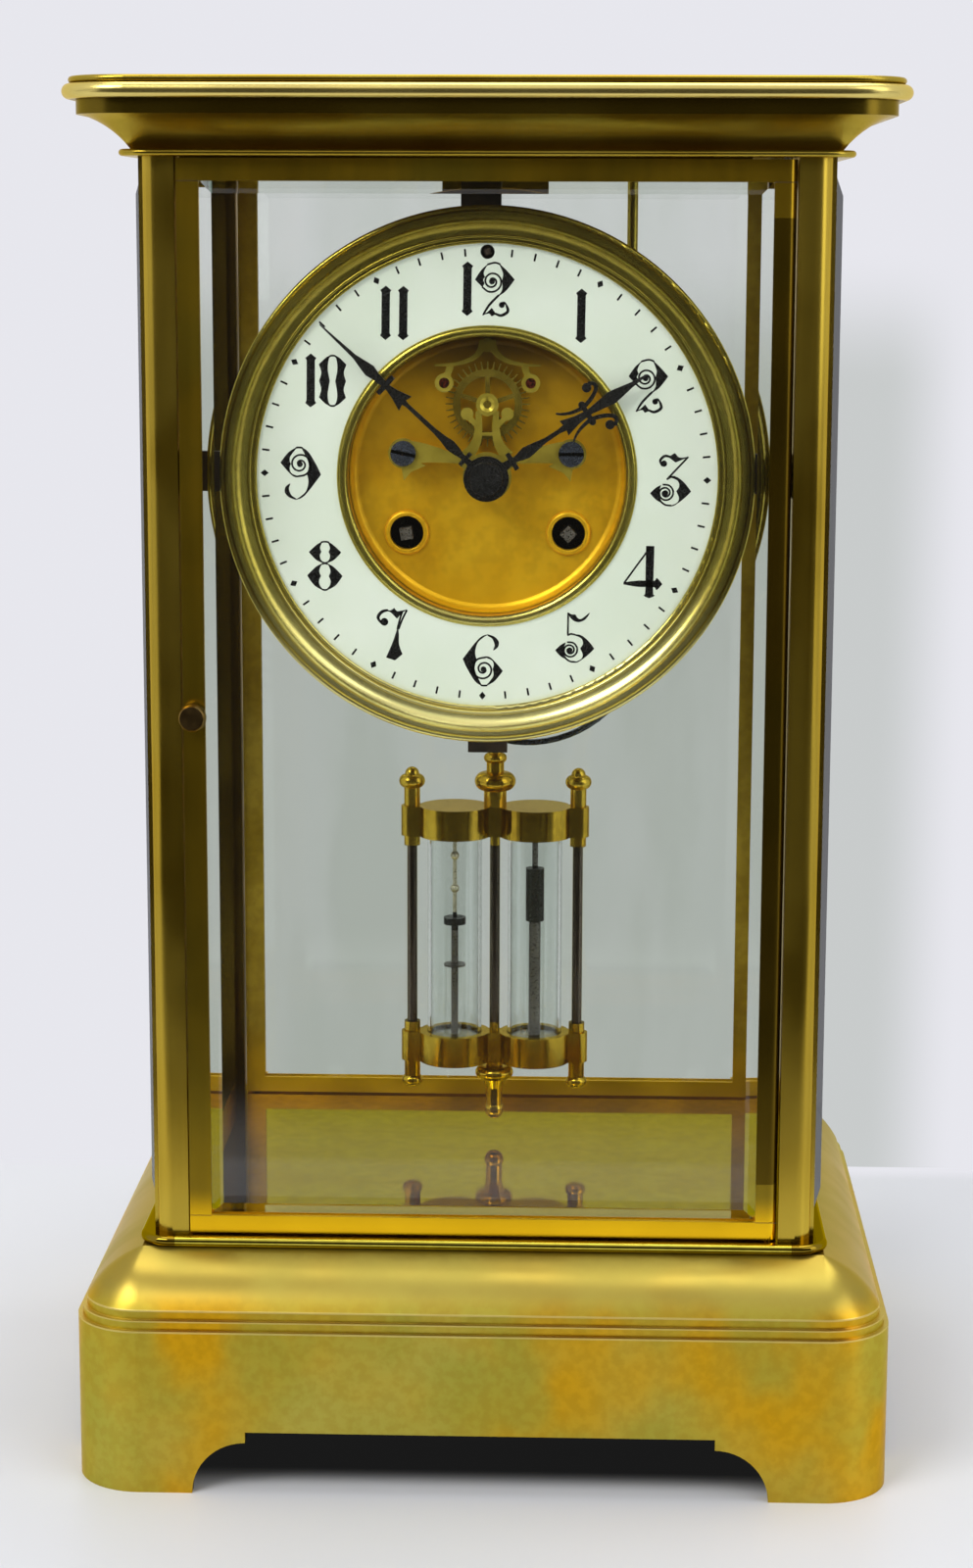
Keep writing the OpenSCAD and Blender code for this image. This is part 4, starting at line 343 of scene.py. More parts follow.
@dataclass(frozen=True)
class Steel:
    """Turned, blued or blackened steel and iron.

    Args:
        name: Name of the finish.
        clean: Colour of the metal.
        worn: Colour of worn or rusty places.
        rough: Lowest and highest roughness.
        metallic: Metal share of the shader.
        marks: Painted shade in hollows, and bright ends.
    """

    CLOUDS = 140.0
    CLOUD_DETAIL = 5.0
    WORN_SHARE = 0.7
    GRAINS = 2600.0
    GRAIN_DETAIL = 3.0
    GRAIN_DEPTH = 0.000003

    name: str
    clean: Rgb
    worn: Rgb
    rough: Limits = (0.25, 0.42)
    metallic: float = 1.0
    marks: tuple[Mark, ...] = ()

    def material(self) -> Material:
        """Returns the finish as a node material."""
        sheet = Sheet(self.name)
        cloud = sheet.noise(self.CLOUDS, self.CLOUD_DETAIL)
        grain = sheet.noise(self.GRAINS, self.GRAIN_DETAIL)
        colour = sheet.blend(sheet.span(cloud, 0.0, self.WORN_SHARE), self.clean, self.worn)
        colour = sheet.marked(colour, self.marks)
        shader = sheet.node("ShaderNodeBsdfPrincipled", Base_Color=colour, Metallic=self.metallic)
        sheet.put(shader, "Roughness", sheet.span(grain, *self.rough))
        sheet.put(shader, "Normal", sheet.bump(grain, self.GRAIN_DEPTH))
        return sheet.finish(shader)


@dataclass(frozen=True)
class Enamel:
    """Fired white enamel with a faint cloud and a wet gloss."""

    CLOUDS = 35.0
    CLOUD_DETAIL = 3.0
    CLOUD_DEPTH = 0.00004
    PITS = 700.0
    PIT_DETAIL = 2.0

    name: str = "fired_enamel"
    clean: Rgb = (0.84, 0.91, 0.79)
    shade: Rgb = (0.78, 0.86, 0.72)
    rough: Limits = (0.12, 0.2)

    def material(self) -> Material:
        """Returns the finish as a node material."""
        sheet = Sheet(self.name)
        cloud = sheet.noise(self.CLOUDS, self.CLOUD_DETAIL)
        pits = sheet.noise(self.PITS, self.PIT_DETAIL)
        colour = sheet.blend(sheet.span(cloud, 0.0, 1.0), self.clean, self.shade)
        shader = sheet.node("ShaderNodeBsdfPrincipled", Base_Color=colour, IOR=GLASS_IOR)
        sheet.put(shader, "Roughness", sheet.span(pits, *self.rough))
        sheet.put(shader, "Normal", sheet.bump(cloud, self.CLOUD_DEPTH))
        return sheet.finish(shader)


@dataclass(frozen=True)
class Glass:
    """Clear plate glass that lets the lamps' light through to what stands behind it.

    Args:
        name: Name of the finish.
        tint: Colour of the glass.
        haze: Lowest and highest roughness, from wiping marks.
        marks: Deeper colour at the ground edges.
    """

    WIPES = 60.0
    WIPE_DETAIL = 3.0
    WIPE_STRETCH: ClassVar[Triple] = (1.0, 1.0, 0.25)
    WIPE_SHARE = 0.3
    CLEAR_TINT = 0.1

    name: str
    tint: Rgb
    haze: Limits = (0.0, 0.015)
    marks: tuple[Mark, ...] = ()

    def material(self) -> Material:
        """Returns the finish as a node material."""
        sheet = Sheet(self.name)
        wipe = sheet.noise(self.WIPES, self.WIPE_DETAIL, self.WIPE_STRETCH)
        colour = sheet.blend(sheet.span(wipe, 0.0, self.WIPE_SHARE), self.tint, WHITE)
        colour = sheet.marked(colour, self.marks)
        shader = sheet.node("ShaderNodeBsdfPrincipled", Base_Color=colour, IOR=GLASS_IOR)
        shader.inputs["Transmission Weight"].default_value = 1.0
        sheet.put(shader, "Roughness", sheet.span(wipe, *self.haze))
        pale = [1.0 - self.CLEAR_TINT + self.CLEAR_TINT * c for c in self.tint]
        clear = sheet.node("ShaderNodeBsdfTransparent", Color=(*pale, 1.0))
        path = sheet.node("ShaderNodeLightPath").outputs
        lighting = sheet.math("MAXIMUM", path["Is Shadow Ray"], path["Is Diffuse Ray"])
        return sheet.finish(sheet.either(lighting, shader, clear))


@dataclass(frozen=True)
class Stone:
    """Polished dark red pallet stone."""

    VEINS = 1500.0
    VEIN_DETAIL = 2.0

    name: str = "pallet_stone"
    dark: Rgb = (0.012, 0.004, 0.002)
    red: Rgb = (0.07, 0.011, 0.005)
    rough: float = 0.08

    def material(self) -> Material:
        """Returns the finish as a node material."""
        sheet = Sheet(self.name)
        vein = sheet.noise(self.VEINS, self.VEIN_DETAIL)
        colour = sheet.blend(sheet.span(vein, 0.0, 1.0), self.dark, self.red)
        shader = sheet.node("ShaderNodeBsdfPrincipled", Base_Color=colour, Roughness=self.rough)
        return sheet.finish(shader)


Finish = Brass | Steel | Enamel | Glass | Stone

# Painted shade for deep hollows and recesses that little light reaches.
SHADE: Rgb = (0.004, 0.004, 0.003)
# Pale lines at the plinth's moulding edges: worn brass and a painted highlight.
EDGE_WEAR_AND_SHEEN: Rgb = (0.78, 0.64, 0.24)
DARK_ROD: Rgb = (0.1, 0.08, 0.06)
GREEN_EDGE: Rgb = (0.36, 0.5, 0.42)
FILLET_Z = 292.4
TORUS_Z = 295.4
TOP_Z = 298.5
# Painted shade inside the hollow base, seen through its arches.
SHADE_INSIDE_BASE = (
    Mark(Region(x=(-86.9, 86.9), y=(-61.5, 61.5), z=(-1.0, 35.0)), SHADE),
    Mark(Region(x=(-73.9, 73.9), y=(-74.5, 74.5), z=(-1.0, 35.0)), SHADE),
)
PLATE_RIM = tuple(
    Mark(region, (0.24, 0.16, 0.015))
    for region in (
        Region(y=(-90.0, -63.0)), Region(y=(63.0, 90.0)), Region(x=(-90.0, -67.0)), Region(x=(67.0, 90.0)),
    )
)
# Painted shade on the winding arbors behind the pan's face, down the winding holes.
SHADE_BEHIND_PAN = Mark(Region(y=(-39.6, 60.0)), SHADE)
# Painted shade in the screw slots, darkened by depth.
SHADE_IN_SCREW_SLOTS = Mark(Region(y=(-44.6, 60.0)), SHADE)
BETWEEN_BARS = Mark(Region(z=(81.4, 124.8)), DARK_ROD)

PLINTH = Brass(
    name="plinth_brass", clean=(0.5, 0.43, 0.07), tarnish=(0.68, 0.36, 0.006), bloom=(0.42, 0.39, 0.05),
    clouds=20.0, share=0.95, rough=(0.28, 0.36),
    # Painted shade over the top slope, toning down the lamps' highlight there.
    fades=(Fade(39.0, 45.0, (0.34, 0.27, 0.055), 0.85),),
    # Pale lines at the moulding edges are worn brass and a painted highlight; the inside of the base takes
    # painted shade.
    marks=(*(Mark(Region(z=(z, z + 0.45)), EDGE_WEAR_AND_SHEEN, 0.5) for z in (36.1, 38.2, 40.2)), *SHADE_INSIDE_BASE),
)
AGED = Brass(
    name="aged_brass", clean=(0.55, 0.37, 0.035), tarnish=(0.3, 0.185, 0.013), bloom=(0.62, 0.45, 0.06),
    clouds=15.0, share=0.8, rough=(0.16, 0.27), grain=Grain.UPRIGHT,
    # Painted shade on the rear half of the posts and side frames.
    marks=(Mark(Region(y=(20.0, 80.0)), (0.06, 0.04, 0.003), 0.75),),
    # Painted shade growing from 230 mm down to 110 mm, and a painted highlight on the bottom rails below 80
    # mm.
    fades=(Fade(230.0, 110.0, (0.26, 0.17, 0.013), 0.4), Fade(80.0, 53.0, (0.6, 0.43, 0.05), 0.8)),
)
DOOR = Brass(
    name="door_brass", clean=(0.46, 0.33, 0.028), tarnish=(0.32, 0.2, 0.013), bloom=(0.5, 0.3, 0.014),
    clouds=18.0, share=0.8, rough=(0.2, 0.27), grain=Grain.UPRIGHT, metal=0.92,
    # Painted shade on the door's right stile.
    marks=(Mark(Region(x=(40.0, 80.0), z=(66.0, 272.0)), (0.06, 0.035, 0.003), 0.75),),
    # Painted shade growing from 230 mm down to 110 mm, and a painted highlight on the bottom rail below 64
    # mm.
    fades=(Fade(230.0, 110.0, (0.2, 0.135, 0.01), 0.7), Fade(64.0, 55.0, (0.98, 0.58, 0.01), 1.0)),
)
BACK = Brass(
    name="rear_brass", clean=(0.6, 0.41, 0.03), tarnish=(0.42, 0.26, 0.015), bloom=(0.62, 0.46, 0.07),
    clouds=22.0, share=0.6, rough=(0.28, 0.38),
    # Painted highlight on the rear door's bottom rail.
    fades=(Fade(72.0, 60.0, (0.95, 0.6, 0.03), 0.9),),
)
CORNICE = Brass(
    name="cornice_brass", clean=(0.42, 0.3, 0.035), tarnish=(0.38, 0.24, 0.016), bloom=(0.44, 0.34, 0.05),
    clouds=13.0, share=0.7, rough=(0.2, 0.27), grain=Grain.ALONG,
    # Painted highlight along the torus and painted shade in the fillet below it.
    marks=(
        Mark(Region(z=(TORUS_Z, TOP_Z)), (0.92, 0.76, 0.26), 0.6),
        Mark(Region(z=(FILLET_Z, TORUS_Z)), (0.09, 0.055, 0.004), 0.8),
    ),
)
BEZEL = Brass(
    name="bezel_brass", clean=(0.5, 0.42, 0.07), tarnish=(0.4, 0.32, 0.045), bloom=(0.56, 0.47, 0.1),
    clouds=14.0, share=0.5, rough=(0.19, 0.27), metal=0.94,
    # Painted shade towards the top and a painted highlight towards the foot, on every piece with this finish.
    fades=(Fade(235.0, 272.0, (0.24, 0.17, 0.02), 0.6), Fade(200.0, 166.0, (0.98, 0.87, 0.36), 0.95)),
)
MIRROR = Brass(
    name="floor_brass", clean=(0.64, 0.53, 0.06), tarnish=(0.56, 0.45, 0.045), bloom=(0.66, 0.58, 0.09),
    clouds=20.0, share=0.5, rough=(0.03, 0.08), metal=1.0, rim=(0.8, 0.66, 0.1),
    marks=PLATE_RIM,
)
GILT = Brass(
    name="matt_gilding", clean=(0.9, 0.5, 0.01), tarnish=(0.74, 0.37, 0.006), bloom=(0.8, 0.5, 0.015),
    clouds=30.0, share=0.6, rough=(0.28, 0.38), metal=0.5,
    # Painted highlight at the pan's foot and painted shade growing towards its top.
    fades=(
        Fade(200.0, 188.0, (1.0, 0.56, 0.01), 0.8),
        Fade(212.0, 234.0, (0.5, 0.26, 0.006), 0.6),
        Fade(233.0, 246.0, (0.07, 0.032, 0.002), 0.94),
    ),
)
WHEELS = Brass(
    name="wheel_brass", clean=(0.52, 0.38, 0.045), tarnish=(0.38, 0.25, 0.02), bloom=(0.56, 0.43, 0.07),
    clouds=90.0, share=0.5, rough=(0.2, 0.27), metal=0.86,
)
BRIDGE = Brass(
    name="bridge_brass", clean=(0.66, 0.52, 0.06), tarnish=(0.54, 0.4, 0.035), bloom=(0.7, 0.56, 0.09),
    clouds=80.0, share=0.45, rough=(0.18, 0.27), metal=0.65,
    # Painted shade over the top of the bridge and the anchor.
    fades=(Fade(237.0, 245.0, (0.07, 0.045, 0.003), 0.9),),
)
POLISHED = Brass(
    name="polished_brass", clean=(0.5, 0.33, 0.03), tarnish=(0.36, 0.2, 0.01), bloom=(0.52, 0.38, 0.05),
    clouds=24.0, share=0.6, rough=(0.1, 0.2),
)
RODS = Brass(
    name="rod_brass", clean=(0.58, 0.38, 0.035), tarnish=(0.44, 0.25, 0.013), bloom=(0.56, 0.42, 0.06),
    clouds=40.0, share=0.5, rough=(0.12, 0.22), marks=(BETWEEN_BARS,),
)
KNOB = Brass(
    name="knob_brass", clean=(0.2, 0.13, 0.05), tarnish=(0.12, 0.07, 0.025), bloom=(0.26, 0.17, 0.06),
    clouds=200.0, share=0.6, rough=(0.2, 0.27),
)
BRIGHT = Steel("bright_steel", (0.42, 0.41, 0.39), (0.27, 0.25, 0.22))
ARBOR = Steel("winding_steel", (0.36, 0.34, 0.3), (0.2, 0.18, 0.15), marks=(SHADE_BEHIND_PAN,))
COLUMN = Steel(
    "column_steel", (0.16, 0.15, 0.13), (0.1, 0.09, 0.075), metallic=0.7,
    marks=(
        Mark(Region(x=(-20.0, 0.0), z=(108.0, 130.0)), (0.62, 0.58, 0.42)),
        Mark(Region(x=(-20.0, 0.0), z=(104.0, 108.4)), (0.02, 0.02, 0.018)),
        Mark(Region(x=(0.0, 20.0), z=(106.2, 120.0)), (0.03, 0.03, 0.022)),
    ),
)
BLUED = Steel("blued_steel", (0.1, 0.12, 0.16), (0.05, 0.055, 0.07), (0.22, 0.34))
SCREWS = Steel("screw_steel", (0.14, 0.16, 0.21), (0.07, 0.08, 0.1), (0.2, 0.3), 0.8, (SHADE_IN_SCREW_SLOTS,))
IRON = Steel("dark_iron", (0.035, 0.026, 0.02), (0.07, 0.045, 0.028), (0.45, 0.62), 0.6)
BLACK = Steel("black_steel", (0.005, 0.005, 0.005), (0.01, 0.0095, 0.009), (0.25, 0.36), 0.0)
INK = Steel("fired_black", (0.004, 0.004, 0.005), (0.009, 0.009, 0.009), (0.2, 0.3), 0.0)
DOOR_GLASS = Glass("door_glass", (0.95, 0.975, 0.95))
# The rear glass's grey tint is partly painted shade, standing in for the clock's shadow on the wall behind
# it.
REAR_GLASS = Glass("rear_glass", (0.78, 0.81, 0.75))
SIDE_GLASS = Glass(
    "side_glass", (0.92, 0.98, 0.94),
    marks=tuple(Mark(Region(y=limits), GREEN_EDGE) for limits in ((44.5, 60.0), (-60.0, -44.5))),
)
JAR_GLASS = Glass("jar_glass", (0.88, 0.91, 0.89))

NODE_FINISH: dict[str, Finish] = {
    "base_plinth": PLINTH,
    "lower_plate": MIRROR,
    "corner_posts": AGED,
    "upper_plate": CORNICE,
    "cornice": CORNICE,
    "top_plate": CORNICE,
    "tie_bolts": BRIGHT,
    "side_frames": AGED,
    "side_glasses": SIDE_GLASS,
    "front_door_frame": DOOR,
    "front_glass": DOOR_GLASS,
    "front_knob": KNOB,
    "front_hinge_pins": BRIGHT,
    "rear_door_frame": BACK,
    "rear_glass": REAR_GLASS,
    "rear_knob": KNOB,
    "rear_hinge_pins": BRIGHT,
    "movement_ring": IRON,
    "top_hanger": IRON,
    "side_brackets": IRON,
    "movement_screws": BLUED,
    "bezel": BEZEL,
    "dial": Enamel(),
    "dial_ring": BEZEL,
    "dial_pan": GILT,
    "escapement_bridge": BRIDGE,
    "bridge_screws": SCREWS,
    "escape_wheel": WHEELS,
    "pallet_anchor": BRIDGE,
    "pallet_stones": Stone(),
    "crutch": WHEELS,
    "front_plate": WHEELS,
    "back_plate": WHEELS,
    "pillars": WHEELS,
    "going_barrel": WHEELS,
    "going_mainspring": BRIGHT,
    "going_winding_arbor": ARBOR,
    "strike_barrel": WHEELS,
    "strike_mainspring": BRIGHT,
    "strike_winding_arbor": ARBOR,
    "intermediate_wheel": WHEELS,
    "centre_arbor": WHEELS,
    "third_wheel": WHEELS,
    "minute_wheel": WHEELS,
    "hour_wheel": WHEELS,
    "minute_hand": BLACK,
    "hour_hand": BLACK,
    "hand_nut": BLACK,
    "rating_arbor": IRON,
    "suspension_cock": WHEELS,
    "suspension_spring": BRIGHT,
    "pin_wheel": WHEELS,
    "hammer": BRIGHT,
    "pendulum_rod": RODS,
    "pendulum_bars": POLISHED,
    "pendulum_side_rods": RODS,
    "pendulum_jars": JAR_GLASS,
    "jar_columns": COLUMN,
    "gong": BLUED,
    "gong_stand": BEZEL,
}


class Bench:
    """Common moves on the work bench: add, join, place and hand over a piece."""

    made: dict[str, Material] = {}

    @classmethod
    def coat(cls, finish: Finish) -> Material:
        """Returns a finish's material, made once."""
        if finish.name not in cls.made:
            cls.made[finish.name] = finish.material()
        return cls.made[finish.name]

    @staticmethod
    def clear() -> None:
        """Leaves edit mode and deselects everything."""
        if bpy.context.object and bpy.context.object.mode != "OBJECT":
            bpy.ops.object.mode_set(mode="OBJECT")
        bpy.ops.object.select_all(action="DESELECT")

    @classmethod
    def layer(cls, points: Outline, thick: float) -> Object:
        """Lays a filled outline on the XY plane as a mesh.

        Args:
            points: Corners of the outline in metres.
            thick: Half of the layer's thickness.

        Returns:
            The mesh object.
        """
        cls.clear()
        bpy.ops.curve.primitive_bezier_circle_add()
        shape = bpy.context.object
        shape.data.dimensions = "2D"
        shape.data.fill_mode = "BOTH"
        shape.data.extrude = thick
        shape.data.splines.clear()
        line = shape.data.splines.new("POLY")
        line.points.add(len(points) - 1)
        area = sum(ax * by - bx * ay for (ax, ay), (bx, by) in zip(points, points[1:] + points[:1]))
        for knot, (x, y) in zip(line.points, points if area > 0 else points[::-1]):
            knot.co = (x, y, 0.0, 1.0)
        line.use_cyclic_u = True
        bpy.ops.object.convert(target="MESH")
        return bpy.context.object

    @classmethod
    def join(cls, parts: list[Object], name: str) -> Object:
        """Joins objects into one piece.

        Args:
            parts: Objects to join.
            name: Name of the piece.

        Returns:
            The joined object.
        """
        cls.clear()
        for part in parts:
            part.select_set(True)
        bpy.context.view_layer.objects.active = parts[0]
        if len(parts) > 1:
            bpy.ops.object.join()
        piece = bpy.context.object
        piece.name = name
        piece.data.name = name
        return piece

    @staticmethod
    def settle(piece: Object, place: Matrix) -> None:
        """Puts a piece's place into its mesh, with its object at the origin."""
        piece.data.transform(place @ piece.matrix_world)
        piece.matrix_world = Matrix.Identity(4)

    @classmethod
    def deliver(cls, piece: Object, body: Body, slot: Slot, finish: Finish) -> None:
        """Gives a piece its finish and sets it on its body."""
        piece.data.materials.clear()
        piece.data.materials.append(cls.coat(finish))
        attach(piece, body.value)
        log.info("piece %s on %s", piece.name, body.value)


def bend(a: float, b: float, c: float, d: float, t: float) -> float:
    """Returns the value at t of a smooth curve from b to c, led by a and d."""
    return 0.5 * (2 * b + (c - a) * t + (2 * a - 5 * b + 4 * c - d) * t**2 + (3 * b - a - 3 * c + d) * t**3)


@dataclass(frozen=True)
class Stroke:
    """Thin pen stroke of a number, in thousandths of its height; x from the number's axis.

    Args:
        knots: Places along the stroke, each with its full width.
        smooth: Steps between two knots.
    """

    knots: tuple[Triple, ...]
    smooth: int = 5

    def outline(self) -> Outline:
        """Returns the stroke's closed outline."""
        ks = [self.knots[0], *self.knots, self.knots[-1]]
        run = [
            tuple(bend(a[k], b[k], c[k], d[k], step / self.smooth) for k in range(3))
            for a, b, c, d in zip(ks, ks[1:], ks[2:], ks[3:])
            for step in range(self.smooth)
        ]
        run.append(self.knots[-1])
        left: Outline = []
        right: Outline = []
        for i, (x, y, width) in enumerate(run):
            ax, ay, _ = run[max(i - 1, 0)]
            bx, by, _ = run[min(i + 1, len(run) - 1)]
            size = 2 * math.hypot(bx - ax, by - ay) or 1.0
            nx, ny = -(by - ay) / size * width, (bx - ax) / size * width
            left.append((x + nx, y + ny))
            right.append((x - nx, y - ny))
        return left + right[::-1]


@dataclass(frozen=True)
class Leaf:
    """Swelling shape of a number, curved between its corners, in thousandths of its height.

    Args:
        knots: Places round the shape.
        corners: Numbers of the knots where the outline has a corner.
        smooth: Steps between two knots.
    """

    knots: tuple[Point, ...]
    corners: tuple[int, ...]
    smooth: int = 5

    def outline(self) -> Outline:
        """Returns the shape's closed outline."""
        count = len(self.knots)
        run: Outline = []
        for i, start in enumerate(self.knots):
            after = (i + 1) % count
            end = self.knots[after]
            lead = start if i in self.corners else self.knots[i - 1]
            trail = end if after in self.corners else self.knots[(i + 2) % count]
            for step in range(self.smooth):
                t = step / self.smooth
                run.append(tuple(bend(lead[k], start[k], end[k], trail[k], t) for k in (0, 1)))
        return run


NUMBER_UNITS = 1000
HAIR_WIDTH = 24
BALL_CORNERS = 12
SCROLL_STEPS = 16
SCROLL_EYE = 45
SCROLL_DOT = 50
LOWER = 0.964
LOWEST = 0.94


def leaf(corners: tuple[int, ...], *knots: Point) -> Outline:
    """Returns a swelling shape of a number, with corners at some of its knots."""
    return Leaf(knots, corners).outline()


def pen(*knots: Triple, smooth: int = 5) -> Outline:
    """Returns a pen stroke of a number through knots with their widths."""
    return Stroke(knots, smooth).outline()


def ball(cx: float, cy: float, radius: float) -> Outline:
    """Returns a round dot of a number."""
    turns = [2 * math.pi * i / BALL_CORNERS for i in range(BALL_CORNERS)]
    return [(cx + radius * math.cos(a), cy + radius * math.sin(a)) for a in turns]


def hair(*points: Point) -> Outline:
    """Returns a hairline of a number through some points."""
    return pen(*((x, y, HAIR_WIDTH) for x, y in points))


def scroll(cx: float, cy: float, size: float, start: float, turns: float) -> list[Outline]:
    """Draws a thin spiral that winds in to a round dot.

    Args:
        cx: Place of the dot across.
        cy: Place of the dot upwards.
        size: Outer radius of the spiral.
        start: Angle of the outer end in degrees.
        turns: Turns of the spiral; a negative number winds clockwise.

    Returns:
        The outlines of the spiral and the dot.
    """
    knots = []
    for i in range(SCROLL_STEPS + 1):
        t = i / SCROLL_STEPS
        angle = math.radians(start + 360 * turns * t)
        radius = size * (1 - t) + SCROLL_EYE * t
        knots.append((cx + radius * math.cos(angle), cy + radius * math.sin(angle)))
    return [hair(*knots), ball(cx, cy, SCROLL_DOT)]


def moved(outlines: list[Outline], across: float, up: float) -> list[Outline]:
    """Returns outlines stretched about a number's middle, or mirrored by a negative stretch."""
    half = NUMBER_UNITS / 2
    return [[(across * x, half + up * (y - half)) for x, y in outline] for outline in outlines]


def both(outlines: list[Outline]) -> list[Outline]:
    """Returns outlines with their mirror images across a number's axis."""
    return outlines + moved(outlines, -1.0, 1.0)


def swollen(points: Outline, width: float) -> Outline:
    """Returns an outline grown evenly, as ink spreads.

    Args:
        points: The outline's corners in order.
        width: How far each side moves out.

    Returns:
        The grown outline.
    """
    ring = [*points, points[0]]
    turn = sum(a[0] * b[1] - b[0] * a[1] for a, b in zip(ring, ring[1:]))
    push = math.copysign(width, turn)
    grown = []
    for (ax, ay), (x, y), (bx, by) in zip([points[-1], *points], points, ring[1:]):
        size = math.hypot(bx - ax, by - ay) or 1.0
        grown.append((x + push * (by - ay) / size, y - push * (bx - ax) / size))
    return grown


LOW_BOWL = [
    leaf(
        (0, 3, 6, 9), (-30, 558), (114, 546), (256, 440), (382, 284), (240, 142), (82, 22), (0, 0),
        (130, 63), (167, 158), (114, 284), (167, 379), (130, 489),
    ),
    leaf(
        (0, 2, 4), (-186, 394), (-290, 330), (-382, 237), (-270, 120), (-140, 54), (-202, 142), (-233, 230),
        (-218, 300),
    ),
    hair((-200, 100), (-100, 25), (20, 10)),
    *scroll(-98, 246, 168, 108.0, -1.9),
]
SIX = [
    leaf(
        (0, 2, 5, 8), (93, 997), (-77, 913), (-381, 517), (-279, 310), (-139, 93), (-15, 9), (-124, 217),
        (-160, 356), (-124, 510), (-155, 650), (-108, 836), (15, 954),
    ),
    leaf(
        (0, 4, 5, 8), (93, 997), (220, 950), (295, 860), (280, 760), (200, 697), (230, 780), (215, 850),
        (170, 930), (93, 975),
    ),
    leaf(
        (0, 2, 4, 7), (15, 567), (155, 542), (381, 300), (232, 108), (77, 9), (200, 170), (215, 260),
        (195, 325), (217, 418), (170, 510),
    ),
    hair((-30, 12), (30, 9), (90, 12)),
    *scroll(15, 325, 235, 80.0, 1.75),
]
SIDE_OF_EIGHT = [
    leaf(
        (0, 2, 4, 7), (-60, 993), (-180, 916), (-323, 780), (-178, 630), (-27, 562), (-90, 630),
        (-110, 714), (-80, 790), (-108, 865), (-80, 950),
    ),
    leaf(
        (0, 2, 4, 7), (-27, 556), (-178, 478), (-354, 300), (-212, 108), (-27, 3), (-110, 108), (-122, 210),
        (-85, 293), (-122, 394), (-80, 512),
    ),
    hair((-80, 982), (-40, 992), (0, 994)),
    hair((-50, 575), (0, 558), (50, 540)),
    hair((-50, 20), (-20, 12), (0, 10)),
]
SIDE_OF_NOUGHT = [
    leaf(
        (0, 2, 4, 6, 8, 11), (-20, 1000), (-130, 945), (-265, 815), (-215, 660), (-258, 495), (-215, 330),
        (-258, 175), (-130, 55), (-20, 0), (-80, 80), (-100, 250), (-60, 495), (-100, 720), (-80, 920),
    ),
    hair((-50, 985), (-20, 989), (0, 990)),
    hair((-50, 15), (-20, 11), (0, 10)),
]
NUMBERS: dict[str, list[Outline]] = {
    "0": moved(both(SIDE_OF_NOUGHT), LOWER, LOWER),
    "1": [
        [
            (0, 1000), (-100, 920), (-72, 880), (-72, 120), (-100, 80), (0, 0), (100, 80),
            (72, 120), (72, 880), (100, 920),
        ],
    ],
    "2": [
        leaf(
            (0, 2, 3, 6), (-120, 965), (-250, 850), (-367, 673), (-235, 545), (-200, 600), (-225, 670),
            (-190, 720), (-215, 800), (-170, 910),
        ),
        hair((-140, 955), (0, 990), (100, 960)),
        leaf(
            (0, 2, 4, 6), (86, 963), (208, 856), (367, 682), (208, 474), (70, 376), (147, 490), (140, 660),
            (160, 780), (116, 900),
        ),
        pen((80, 390, 30), (-100, 200, 34), (-214, 15, 20)),
        leaf((0, 2, 4, 5), (-214, 20), (-120, 75), (-50, 145), (0, 75), (30, 40), (-50, 0), (-100, 50)),
        pen((20, 45, 30), (130, 12, 40), (254, 90, 45), (223, 210, 30)),
        hair((223, 210), (180, 255), (120, 230)),
        ball(138, 208, 50),
        *scroll(-52, 642, 210, -150.0, 1.8),
    ],
    "3": [
        *LOW_BOWL,
        ball(-139, 804, 55),
        pen((-170, 760, 20), (-210, 860, 35), (-130, 945, 40), (-30, 935, 30)),
        leaf((0, 1, 4, 5), (-50, 930), (65, 1000), (130, 930), (200, 915), (318, 937), (80, 835)),
        hair((318, 937), (120, 720), (-75, 505)),
        hair((-75, 505), (0, 550), (80, 555)),
    ],
    "4": [
        pen((110, 0, 0), (110, 50, 220), (110, 90, 140), (110, 500, 140), (110, 990, 150), smooth=3),
        hair((120, 980), (-120, 640), (-370, 280)),
        pen((-380, 270, 30), (-100, 270, 110), (200, 270, 110), (250, 270, 220), (350, 270, 0), smooth=3),
    ],
    "5": moved(
        [
            *LOW_BOWL,
            hair((-142, 993), (-142, 750), (-142, 543)),
            leaf(
                (0, 2, 5), (-135, 985), (-70, 955), (0, 955), (40, 890), (120, 870), (285, 1000),
                (200, 875), (90, 820), (-20, 835), (-110, 920),
            ),
            hair((-142, 543), (-80, 570), (0, 558)),
        ],
        LOWER,
        LOWER,
    ),
    "6": SIX,
    "7": [
        ball(-140, 735, 70),
        pen((-180, 690, 20), (-262, 814, 45), (-190, 925, 50), (-71, 962, 30)),
        leaf(
            (0, 2, 5, 7), (-120, 955), (-20, 955), (47, 1000), (90, 945), (160, 945), (290, 975),
            (200, 920), (100, 807), (40, 870), (-30, 930),
        ),
        hair((290, 966), (200, 780), (135, 600)),
        hair((200, 930), (160, 800), (110, 600)),
        leaf((0, 2, 3, 4), (120, 620), (20, 320), (-95, 50), (71, 0), (207, 119), (140, 300), (135, 500)),
    ],
    "8": moved(both(SIDE_OF_EIGHT), LOWEST, LOWEST),
    "9": moved(SIX, -1.0, -1.0),
}


